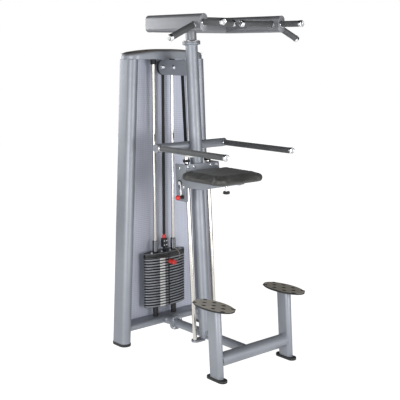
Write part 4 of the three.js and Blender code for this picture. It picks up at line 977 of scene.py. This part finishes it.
def buildHeader():
    z, rearY, frontY = machine["pulleyZ"], machine["rearPulleyY"], machine["frontPulleyY"]
    radius, inner, outer = column["plateRadius"], column["plateInner"], column["plateOuter"]
    name, foot, wheels = "headerHousing", columnY(z) + 8, (rearY, frontY)
    points = [(foot, z - radius)] + arcPoints(rearY, z, radius, -90, 90, 24) + [(foot, z + radius)]
    parts = [outline(name, points, *span(side, inner, outer), "x", 1) for side in (-1, 1)]
    low, high = z - radius + 6, z + radius - 6
    parts.append(box(name, (-inner - 2, foot, low), (inner + 2, frontY - radius - 8, high), 1))
    for part in parts:
        bored(part, column["bore"], z)
    parts += [roundBar(name, column["axle"], at(-inner - 2, y, z), xAxis, 2 * inner + 4, 32) for y in wheels]
    finishPiece(joined(name, parts), "frame", "silver", "header_housing")
    spots = [(y, side) for y in wheels for side in (-1, 1)]
    heads = [hexBolt("headerBolts", (side * outer, y, z), xAxis * side, "axle") for y, side in spots]
    bolted("headerBolts", "frame", heads)
    finishPiece(pulleyShape("rearPulley", rearY), "rear_pulley", "nylon", "rear_pulley")
    finishPiece(pulleyShape("frontPulley", frontY), "front_pulley", "nylon", "front_pulley")
    half = column["bufferHalf"]
    slot = half - column["bufferWall"]
    guard = turned("headerBuffer", chamfered(radius, 2 * half, 3), 72)
    layAlong(guard, at(-half, rearY + column["bufferBack"], z), xAxis)
    cutWith(guard, box("slotCutter", (-slot, rearY - 80, z - 80), (slot, column["bufferSlot"], z + 80), 3))
    cutWith(guard, roundBar("boreCutter", column["axle"] + 0.6, at(-40, rearY, z), xAxis, 80, 32))
    finishPiece(guard, "frame", "rubber", "header_buffer")


def beltStrip(name, points):
    # a flat belt swept along points that lie in one plane across x: a cross section extruded step by step
    width, half = column["beltWidth"], column["belt"] / 2
    deselectAll()
    bpy.ops.mesh.primitive_plane_add(size=1)
    piece = activePiece(name)
    ways = [(b - a).normalized() for a, b in zip(points, points[1:])]
    ways = [ways[0]] + ways + [ways[-1]]
    normal = xAxis.cross(ways[0])
    for vertex in piece.data.vertices:
        vertex.co = (points[0] + xAxis * vertex.co.x * width + normal * vertex.co.y * half * 2) * metre
    startEdit(piece)
    bpy.ops.mesh.select_mode(type="FACE")
    for index in range(1, len(points)):
        here = points[index]
        extrude((here - points[index - 1]) * metre)
        wanted = xAxis.cross((ways[index] + ways[index + 1]).normalized())
        shape = bmesh.from_edit_mesh(piece.data)
        for vertex in [v for v in shape.verts if v.select]:
            up = (vertex.co / metre - here).dot(normal)
            vertex.co = (here + wanted * math.copysign(half, up)) * metre + xAxis * vertex.co.x
        bmesh.update_edit_mesh(piece.data)
        normal = wanted
    endEdit(turnOut=True)
    return piece


def beltRun(name, node, high, low):
    # a straight run of the belt, blended between its two ends
    steps = column["beltSteps"]
    run = beltStrip(name, [high + (low - high) * step / steps for step in range(steps + 1)])
    finishPiece(run, None, "belt", node)
    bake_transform(run)


def buildBelts():
    z, rearY, frontY, gap = machine["pulleyZ"], machine["rearPulleyY"], machine["frontPulleyY"], 0.3
    middle = column["pulleyRadius"] + gap + column["belt"] / 2
    arcs = arcPoints(rearY, z, middle, 0, 90) + arcPoints(frontY, z, middle, 90, 180 - math.degrees(rake))
    header = beltStrip("headerBelt", [at(0, y, height) for y, height in arcs])
    finishPiece(header, "frame", "belt", "header_belt", 60)
    beltRun("stackBelt", "stack_belt", at(0, towerY, z - gap), at(0, towerY, stack["nutTop"] + gap))
    top = at(0, frontY - middle * math.cos(rake), z + middle * math.sin(rake))
    drop = (top.z - column["beltLow"]) / rakeUp.z
    beltRun("carriageBelt", "carriage_belt", top - rakeUp * gap, top - rakeUp * (drop - gap))


buildColumn()
buildHeader()
buildBelts()
print("stage: column, header and belts made")

# Pull-up arms, grips and dip handles
arms = {
    "front": -317, "rear": 221, "cap": 5, "rearRound": 15,
    "ring": 44, "ringLength": 9, "rubber": 39, "capDiameter": 42, "capLength": 20, "capRound": 6,
    "forwardEnd": -500.3, "stationY": -260, "wideReach": 232, "wideDrop": 24, "innerEnd": 26,
    "yoke": 58, "yokeY": 187.9, "yokeReach": 303, "dipEnd": -484,
}


def placeGrip(name, node, length, root, way):
    # rubber sleeve with a rolled lip at each end, a chrome root ring and a chrome cap
    rubber, outer, cap = arms["rubber"] / 2, arms["ring"] / 2, arms["capDiameter"] / 2
    start, lip, edge = length - arms["capLength"], arms["ringLength"], arms["capRound"]
    sleeve = turned(
        name + "Sleeve", [(rubber - 2, lip - 2), (rubber, lip + 1), (rubber, start - 1), (rubber - 2, start + 1)]
    )
    rootShape = [(outer - 3, 0), (outer - 0.8, 0.4), (outer, 2), (outer, lip - 1.5), (outer - 1.2, lip)]
    capShape = [
        (cap - 1, start), (cap, start + 1), (cap, length - edge), (cap - edge * 0.3, length - edge * 0.3),
        (cap - edge, length), (cap - edge - 2, length - 0.6), (5, length - 0.6), (4, length - 2.4),
    ]
    metal = joined(name + "Metal", [turned(name + "Metal", shape) for shape in (rootShape, capShape)])
    finishPiece(layAlong(sleeve, root, way), "frame", "grip", node)
    finishPiece(layAlong(metal, root, way), "frame", "chrome")


def buildArms():
    z, stationY, front, cap = machine["armMiddle"], arms["stationY"], arms["front"], arms["cap"]
    width, height, rear = machine["armWidth"], machine["armHeight"], arms["rear"] + cap
    drop, halfArm = math.radians(arms["wideDrop"]), width / 2
    for label, side in sides:
        x, name = side * machine["armX"], label.title()
        tube = flatOval("pullUpArm", width, height, rear - front, 72)
        startEdit(layAlong(tube, at(x, front, z), yAxis))
        pick(tube, "EDGE", lambda e: all(v.co.y > (rear - 0.5) * metre for v in e.verts))
        bpy.ops.mesh.bevel(offset=arms["rearRound"] * metre, segments=5, affect="EDGES")
        endEdit()
        lid = layAlong(flatOval("pullUpArm", width + 2, height + 2, cap, 72), at(x, front, z), -yAxis)
        arm = joined("pullUpArm" + name, [tube, bevelled(lid, 2, 3)])
        # the arm takes the darker copy of the silver coat as painted shade
        finishPiece(arm, "frame", "shade", f"pull_up_arm_{label}")

        root = at(x, front - cap - 0.3, z)
        placeGrip("forwardGrip" + name, f"forward_grip_{label}", root.y - arms["forwardEnd"], root, -yAxis)
        way, start = at(side * math.cos(drop), 0, -math.sin(drop)), halfArm + 3
        root = at(x, stationY, z) + way * start
        placeGrip("wideGrip" + name, f"wide_grip_{label}", arms["wideReach"] - start, root, way)
        start = machine["armX"] - halfArm - 0.3
        root = at(side * start, stationY, z)
        placeGrip("innerGrip" + name, f"inner_grip_{label}", start - arms["innerEnd"], root, -xAxis * side)


def buildDipHandles():
    y, z, reach, radius = arms["yokeY"], machine["dipZ"], arms["yokeReach"], arms["yoke"] / 2
    end = [(radius - 7, 3), (radius - 4, 0.5), (radius - 1, 0), (radius, 1.5)]
    tube = turned("dipCrossTube", end + [(size, 2 * reach - along) for size, along in reversed(end)], 64)
    bored(layAlong(tube, at(-reach, y, z), xAxis), column["bore"], z)
    finishPiece(tube, "frame", "silver", "dip_cross_tube")
    for label, side in sides:
        root = at(side * machine["dipX"], y - radius + 2, z)
        placeGrip("dipHandle" + label.title(), f"dip_handle_{label}", root.y - arms["dipEnd"], root, -yAxis)


buildArms()
buildDipHandles()
print("stage: arms and handles made")

# Guide rods and carriage
carriage = {
    "rod": 28, "rodBore": 28.6, "blockBore": 29, "rodLow": 82, "rodHigh": 1341,
    "topBracket": 1335, "bottomBracket": 76, "bracket": 12, "bracketWidth": 232,
    "stopShape": ((14, 0), (21, 0), (23, 3), (23, 17), (20, 20), (14, 20)), "stopGap": 6,
    "plateInner": 140, "plateOuter": 146, "armInner": 146.3, "armOuter": 152.3,
    "topZ": 1292, "bottomZ": 1044, "rightBottomZ": 1124, "frontY": 69, "rearY": 182, "hingeY": 88, "hingeZ": 1146,
    "blockInner": 64, "blockHalf": 32, "blockLow": 1127, "blockHigh": 1272, "screwZ": (1193, 1265),
    "boltX": (-122, -73, 73, 122),
    "anchorFront": 170, "anchorRear": 178, "anchorTop": 1262, "anchorBottom": 1196,
    "lugHalf": 22, "lugBottom": 1228, "lugRear": 243, "lugScrewX": (-12, 12), "lugScrewZ": 1245,
    "armShape": ((148, 1196.7, 10), (-195, 1196.7, 6), (-150, 1150.7, 24), (64, 1138.7, 12)),
    "tailShape": ((68, 1052, 12), (116, 1052, 12), (124, 1104.7, 12), (148, 1142, 12)),
    "stubShape": ((88, 1124, 12), (148, 1124, 12)), "tubeZ": 1179.7, "tube": 34, "tubeY": (-167, -20),
}


def buildGuides():
    radiusX, stopZ = machine["guideX"], carriage["topZ"] + carriage["stopGap"]
    for label, side in sides:
        x, name = side * radiusX, label.title()
        rod = rakedBar("guideRod" + name, carriage["rod"], carriage["rodLow"], carriage["rodHigh"], x, 48)
        finishPiece(rod, "frame", "rodChrome", f"guide_rod_{label}")
        bumper = turned("guideStop" + name, carriage["stopShape"], 40)
        finishPiece(layAlong(bumper, columnAt(stopZ, x), rakeUp), "frame", "rubber")
    brackets = (
        ("guideTopBracket", 104, carriage["topBracket"], "whiteNylon", "guide_top_bracket"),
        ("guideBottomBracket", 62, carriage["bottomBracket"], "silver", "guide_bottom_bracket"),
    )
    for name, depth, z, finish, node in brackets:
        bar = moved(flatOval(name, carriage["bracketWidth"], depth, carriage["bracket"]), 0, columnY(z), z)
        bored(bar, column["bore"], z)
        for side in (-1, 1):
            bored(bar, carriage["rodBore"], z, side * radiusX, 40)
        finishPiece(bevelled(bar, 1.2), "frame", finish, node)


def sidePlateOutline(bottom):
    top, front, rear = carriage["topZ"], carriage["frontY"], carriage["rearY"]
    lean = machine["rakeShare"] * (top - bottom)
    return roundCorners([(rear, top, 12), (front, top, 6), (front - lean, bottom, 12), (rear - lean, bottom, 12)])


def makeBlock(name, side):
    # a bearing block on the lean of its rod, waisted beside the column
    inner, half = carriage["blockInner"], carriage["blockHalf"]
    low, high = carriage["blockLow"], carriage["blockHigh"]
    width, middle = carriage["plateInner"] - 0.3 - inner, (low + high) / 2
    block = box(name, (-width / 2, -half, 0), (width / 2, half, (high - low) / rakeUp.z), 6, 3)
    layAlong(block, columnAt(low, side * (inner + width / 2)), rakeUp)
    x, y = side * inner, columnY(middle)
    cutWith(block, box("waistCutter", (x - 14, y - 80, middle - 30), (x + 14, y + 80, middle + 30), 6))
    return bored(block, carriage["blockBore"], middle, side * machine["guideX"], 40)


def buildCarriage():
    inner, outer = carriage["plateInner"], carriage["plateOuter"]
    for label, side in sides:
        name = label.title()
        shape = sidePlateOutline(carriage["bottomZ"] if side < 0 else carriage["rightBottomZ"])
        plate = outline("carriagePlate" + name, shape, *span(side, inner, outer), "x", 1)
        finishPiece(plate, "carriage", "silver", f"carriage_plate_{label}")
        hinge = (side * carriage["armOuter"], carriage["hingeY"], carriage["hingeZ"])
        finishPiece(hexBolt("hingeBolt" + name, hinge, xAxis * side, "hinge"), "pad", "zinc")
        places = [(side * outer, columnY(z) + 12, z) for z in carriage["screwZ"]]
        screws = [hexBolt("blockScrews" + name, place, xAxis * side, "block") for place in places]
        bolted("blockScrews" + name, "carriage", screws)
        finishPiece(makeBlock("guideBlock" + name, side), "carriage", "nylon", f"guide_block_{label}")

    y, top, bottom, half = carriage["frontY"], carriage["topZ"], carriage["anchorBottom"], inner - 0.3
    cross = box("carriageCrossPlate", (-half, y, bottom), (half, y + 6, top), 1)
    finishPiece(cross, "carriage", "silver", "carriage_cross_plate")
    heads = [hexBolt("crossPlateBolts", (x, y, top - 18), -yAxis, "cross") for x in carriage["boltX"]]
    bolted("crossPlateBolts", "carriage", heads)
    front, back, top = carriage["anchorFront"], carriage["anchorRear"], carriage["anchorTop"]
    wide, rear = carriage["lugHalf"], carriage["lugRear"]
    bar = box("beltAnchor", (-half, front, bottom), (half, back, top), 1)
    lug = box("beltAnchor", (-wide, back - 2, carriage["lugBottom"]), (wide, rear, top), 3)
    finishPiece(joined("beltAnchor", [bar, lug]), "carriage", "silver", "belt_anchor")
    z = carriage["lugScrewZ"]
    heads = [hexBolt("anchorScrews", (x, rear, z), yAxis, "clamp") for x in carriage["lugScrewX"]]
    bolted("anchorScrews", "carriage", heads)


def buildPadFrame():
    inner, outer, z, size = carriage["armInner"], carriage["armOuter"], carriage["tubeZ"], carriage["tube"]
    parts = []
    for side in (-1, 1):
        # the left arm has a tail that reaches down to the plunger
        shape = roundCorners(carriage["armShape"] + carriage["tailShape" if side < 0 else "stubShape"])
        parts.append(outline("padFrame", shape, *span(side, inner, outer), "x", 1))
    for y in carriage["tubeY"]:
        parts.append(roundBar("padFrame", size, at(-inner - 2, y, z), xAxis, 2 * inner + 4, 40))
        for side in (-1, 1):
            parts.append(weldBead("padFrame", at(side * (inner - 1.5), y, z), xAxis, size / 2, 2.5))
    finishPiece(joined("padFrame", parts), "pad", "silver", "pad_frame")


# Plunger, lever and knob of the pad
lock = {
    "plungerY": 92, "plungerZ": 1076, "barrelShape": ((13, 0), (13, 5), (10, 6), (10, 20), (8.5, 22)),
    "ball": 17, "ballX": -195.3, "pin": 10, "pinLength": 40, "pinX": -147,
    "leverY": 124, "leverZ": 1166, "leverLow": -158.6, "leverHigh": -152.6, "leverHead": 15, "leverFoot": 8,
    "leverLength": 76, "leverTilt": -10, "discShape": ((11, 0), (11, 1.2), (10, 2)), "ringX": -152.8,
    "ringShape": ((17, 0), (20, 0), (20, 3), (17, 3.5), (15.5, 3), (15.5, 0)),
    "knobY": carriage["tubeY"][0], "knobShape": ((14, 1112), (20, 1113.5), (23, 1118), (23, 1127), (20, 1131), (12, 1132)),
    "lobes": 6, "lobeDepth": 2.6, "stemShape": ((8, 1130), (8, 1176)),
}


def buildLock():
    y, z, radius = lock["plungerY"], lock["plungerZ"], lock["ball"]

    def outward(name, profile, count, x, finish, body, node=None):
        # a turned piece that stands out to the left
        finishPiece(layAlong(turned(name, profile, count), at(x, y, z), -xAxis), body, finish, node)

    outward("plungerBarrel", lock["barrelShape"], 36, -carriage["armOuter"], "nylon", "pad")
    turns = [math.radians(angle) for angle in range(10, 171, 10)]
    ball = [(radius * math.sin(turn), -radius * math.cos(turn)) for turn in turns]
    outward("lockPlunger", ball, 40, lock["ballX"], "red", "lock_plunger", "lock_plunger")
    pin = lock["pin"] / 2
    outward("lockPlungerPin", [(pin, 0), (pin, lock["pinLength"])], 24, lock["pinX"], "zinc", "lock_plunger")

    y, z = lock["leverY"], lock["leverZ"]
    points = arcPoints(0, 0, lock["leverHead"], 0, 180, 20)
    points += arcPoints(0, -lock["leverLength"], lock["leverFoot"], 180, 360)
    lever = outline("lockLever", points, lock["leverLow"], lock["leverHigh"], "x", 1.2)
    lever.rotation_euler.x = math.radians(lock["leverTilt"])
    finishPiece(moved(lever, 0, y, z), "lock_lever", "chrome", "lock_lever")
    outward("leverDisc", lock["discShape"], 40, lock["leverLow"], "whiteNylon", "lock_lever")
    outward("leverRing", lock["ringShape"], 40, lock["ringX"], "nylon", "lock_lever")

    knob = turned("padKnob", lock["knobShape"])
    startEdit(knob)
    for lobe in range(lock["lobes"]):
        turn = 2 * math.pi * lobe / lock["lobes"]
        out = at(math.cos(turn), math.sin(turn), 0)
        pick(knob, "VERT", lambda v: v.co.xy.length > 0.019 and v.co.xy.normalized().dot(out.xy) > 0.985)
        bpy.ops.transform.translate(value=out * -lock["lobeDepth"] * metre)
    endEdit()
    finishPiece(moved(knob, 0, lock["knobY"], 0), "pad_knob", "nylon", "pad_knob")
    stem = moved(turned("padKnobStem", lock["stemShape"], 32), 0, lock["knobY"], 0)
    finishPiece(stem, "pad_knob", "chrome")


buildGuides()
buildCarriage()
buildPadFrame()
buildLock()
print("stage: carriage made")

# Knee pad: slack is what the cover gains when it is filled, swell the most that a point of it may move
pad = {
    "x": 206, "front": -332, "rear": 62, "bottom": 1197, "top": 1254, "frontCorner": 62, "rearCorner": 28,
    "round": 19, "voxel": 5, "slack": 4, "pinned": 9, "steps": 20, "swell": 12, "pressure": 4,
    "cloth": {
        "quality": 6, "mass": 0.4, "tension_stiffness": 25, "compression_stiffness": 30, "bending_stiffness": 8,
    },
    "foldsFrom": 25, "foldHeight": 1.1, "fineHeight": 0.2,
}


def padOutline(inset):
    front, rear, halfX = pad["front"] + inset, pad["rear"] - inset, pad["x"] - inset
    near, far = pad["frontCorner"], pad["rearCorner"]
    return roundCorners([(halfX, rear, far), (-halfX, rear, far), (-halfX, front, near), (halfX, front, near)], 12)


def makePadBlank(name):
    # the stitched cover before it is filled: a rounded slab with softened edges
    slab = outline(name, padOutline(pad["slack"]), pad["bottom"] + 2, pad["top"] - 8, "z")
    return bevelled(slab, pad["round"], 4, 40)


def simulatePad(cover):
    # fills the cover as cloth under pressure, pinned to its board, and relaxes it
    applyModifier(cover, "REMESH", mode="VOXEL", voxel_size=pad["voxel"] * metre, use_smooth_shade=True)
    group = cover.vertex_groups.new(name="board")
    board = [v.index for v in cover.data.vertices if v.co.z < (pad["bottom"] + pad["pinned"]) * metre]
    group.add(board, 1.0, "REPLACE")
    grab(cover)
    cloth = cover.modifiers.new("Cloth", "CLOTH")
    for key, value in pad["cloth"].items():
        setattr(cloth.settings, key, value)
    cloth.settings.use_pressure = True
    cloth.settings.uniform_pressure_force = pad["pressure"]
    cloth.settings.vertex_group_mass = "board"
    cloth.settings.effector_weights.gravity = 0
    cloth.point_cache.frame_start, cloth.point_cache.frame_end = 1, pad["steps"]
    rest = [v.co.copy() for v in cover.data.vertices]
    for step in range(1, pad["steps"] + 1):
        scene.frame_set(step)
    bpy.ops.object.modifier_apply(modifier="Cloth")
    swell = pad["swell"] * metre
    for vertex, start in zip(cover.data.vertices, rest):
        move = vertex.co - start
        if move.length > swell:
            vertex.co = start + move.normalized() * swell
    scene.frame_set(1)
    return applyModifier(cover, "SMOOTH", factor=0.5, iterations=9)


def puckerPad(cover):
    # low folds over the upper part of the cover
    startEdit(cover)
    shape = bmesh.from_edit_mesh(cover.data)
    for vertex in shape.verts:
        place = vertex.co / metre
        folds = noise.noise(at(place.x * 0.018, place.y * 0.03, place.z * 0.03)) * pad["foldHeight"]
        fine = noise.noise(at(place.x * 0.06, place.y * 0.06, 3)) * pad["fineHeight"]
        if place.z > pad["bottom"] + pad["foldsFrom"]:
            vertex.co.z += (folds + fine) * metre
    bmesh.update_edit_mesh(cover.data)
    endEdit()
    return applyModifier(cover, "SUBSURF", levels=1, render_levels=1)


def buildPad():
    cover = puckerPad(simulatePad(makePadBlank("kneePad")))
    finishPiece(cover, "pad", "vinyl", "knee_pad", 60)
    # the piping closes the cover just above its board
    welt = outline("kneePadPiping", padOutline(12), pad["bottom"] + 3, pad["bottom"] + 7, "z")
    finishPiece(bevelled(welt, 1.9, 3, 60), "pad", "vinyl", None, 60)


buildPad()
print("stage: pad made")

# Pin lanyard
lanyard = {
    "diameter": 3, "ferruleShape": ((1.8, 0), (3, 0.8), (3, 9), (2.2, 10.5)),
    "route": (
        (68.35, 479.35, 634.6), (62.35, 470.35, 634.6), (76, 432, 619.6), (73, 402, 584.45), (36.3, 387.33, 561.3),
        (24.3, 387.33, 552.3), (18.3, 387.33, 552.3),
    ),
}


def smoothRoute(points, steps=10):
    # Catmull-Rom points through a list of places
    places = [Vector(point) for point in points]
    places = [places[0] * 2 - places[1]] + places + [places[-1] * 2 - places[-2]]
    route = []
    for a, b, c, d in zip(places, places[1:], places[2:], places[3:]):
        for step in range(steps):
            t = step / steps
            bend = (2 * a - 5 * b + 4 * c - d) * t**2 + (3 * b - a - 3 * c + d) * t**3
            route.append(0.5 * (2 * b + (c - a) * t + bend))
    return route + [places[-2]]


def buildLanyard():
    route = smoothRoute(lanyard["route"])
    curve = bpy.data.curves.new("pinLanyard", "CURVE")
    curve.dimensions = "3D"
    curve.bevel_depth = lanyard["diameter"] / 2 * metre
    curve.bevel_resolution = 4
    curve.use_fill_caps = True
    spline = curve.splines.new("POLY")
    spline.points.add(len(route) - 1)
    for point, place in zip(spline.points, route):
        point.co = (*(place * metre), 1)
    cord = bpy.data.objects.new("pinLanyard", curve)
    scene.collection.objects.link(cord)
    grab(cord)
    bpy.ops.object.convert(target="MESH")
    cord = activePiece("pinLanyard")
    finishPiece(cord, "stack", "cordSkin", "pin_lanyard", 60)
    ferrules = []
    for start, end in ((route[0], route[1]), (route[-1], route[-2])):
        ferrule = turned("lanyardFerrules", lanyard["ferruleShape"], 24)
        ferrules.append(layAlong(ferrule, start, end - start, zAxis))
    bolted("lanyardFerrules", "stack", ferrules)
    length = sum((b - a).length for a, b in zip(route, route[1:])) * metre


buildLanyard()
print("stage: lanyard made")

# Floor, backdrop and light; a lamp has a place, a target, a size and a power, a cloth a width and a height
studio = {
    "floor": "#d2d2d1", "shadowCatch": "#a8a8a8", "floorGlow": 0.95, "floorSize": 24000,
    "sky": 0.38, "cloth": "#3c3c3c",
    "lamps": (
        ("keyLamp", (-5300, -2300, 1500), (0, 0, 1100), 3200, 175),
        ("fillLamp", (700, -5400, 1400), (0, 0, 1100), 3000, 150),
        ("rearLamp", (-1300, 3400, 2100), (0, 0, 1100), 2200, 60),
    ),
    "cloths": (
        ("ceilingCloth", (0, 0, 3600), (0, 0, 0), 7000, 7000),
        ("backCloth", (2900, 3300, 1700), (0, 0, 1700), 5200, 3400),
        ("leftCloth", (-1500, 4300, 1700), (0, 0, 1700), 5200, 3400),
        ("rightCloth", (4300, -900, 1700), (0, 0, 1700), 5000, 3400),
    ),
}


def shader(tree, kind, colour, **more):
    return addNode(tree, kind, {"Color": colour, **more}).outputs[0]


def seenDirectly(tree):
    # one for what the camera sees, also in metal and through clear parts
    rays = addNode(tree, "ShaderNodeLightPath").outputs
    seen = rays["Is Camera Ray"]
    for other in ("Is Glossy Ray", "Is Transmission Ray"):
        seen = addNode(tree, "ShaderNodeMath", {"operation": "MAXIMUM"}, {0: seen, 1: rays[other]}).outputs[0]
    return seen


def stagePlane(name, size, build):
    # a plane of the set, whose material is built by the function that is given
    deselectAll()
    bpy.ops.mesh.primitive_plane_add(size=size * metre)
    plane = activePiece(name)
    material, tree = emptyMaterial(name)
    addNode(tree, "ShaderNodeOutputMaterial", links={"Surface": build(tree)})
    plane.data.materials.append(material)
    return plane


def floorShader(tree):
    matt = shader(tree, "ShaderNodeBsdfDiffuse", hexToLinear(studio["floor"]))
    shadow = shader(tree, "ShaderNodeBsdfDiffuse", hexToLinear(studio["shadowCatch"]))
    glow = shader(tree, "ShaderNodeEmission", (1, 1, 1, 1), Strength=studio["floorGlow"])
    white = addNode(tree, "ShaderNodeAddShader", {}, {0: shadow, 1: glow}).outputs[0]
    return addNode(tree, "ShaderNodeMixShader", {}, {0: seenDirectly(tree), 1: matt, 2: white}).outputs[0]


def studioWorld():
    world = bpy.data.worlds.new("studioWorld")
    world.use_nodes = True
    scene.world = world
    tree = world.node_tree
    tree.nodes.clear()
    sky = shader(tree, "ShaderNodeBackground", (1, 1, 1, 1), Strength=studio["sky"])
    white = shader(tree, "ShaderNodeBackground", (1, 1, 1, 1), Strength=1.0)
    mix = addNode(tree, "ShaderNodeMixShader", {}, {0: seenDirectly(tree), 1: sky, 2: white})
    addNode(tree, "ShaderNodeOutputWorld", links={"Surface": mix.outputs[0]})


def aim(piece, place, target):
    piece.location = mm(*place)
    piece.rotation_euler = (mm(*target) - mm(*place)).to_track_quat("-Z", "Y").to_euler()


def addLamps():
    for name, place, target, size, power in studio["lamps"]:
        data = bpy.data.lights.new(name, "AREA")
        data.shape = "DISK"
        data.size = size * metre
        data.energy = power
        lamp = bpy.data.objects.new(name, data)
        aim(lamp, place, target)
        scene.collection.objects.link(lamp)


def addCloths():
    # dark cloths stretched round the set, outside the picture, draw the dark edges on chrome and paint
    for name, place, target, width, height in studio["cloths"]:
        dark = hexToLinear(studio["cloth"])
        cloth = stagePlane(name, 1, lambda tree: shader(tree, "ShaderNodeBsdfDiffuse", dark))
        cloth.scale = (width, height, 1)
        aim(cloth, place, target)
        cloth.visible_camera = False


stagePlane("studioFloor", studio["floorSize"], floorShader)
studioWorld()
addLamps()
addCloths()
scene.view_settings.view_transform = "Standard"
print("stage: studio made")
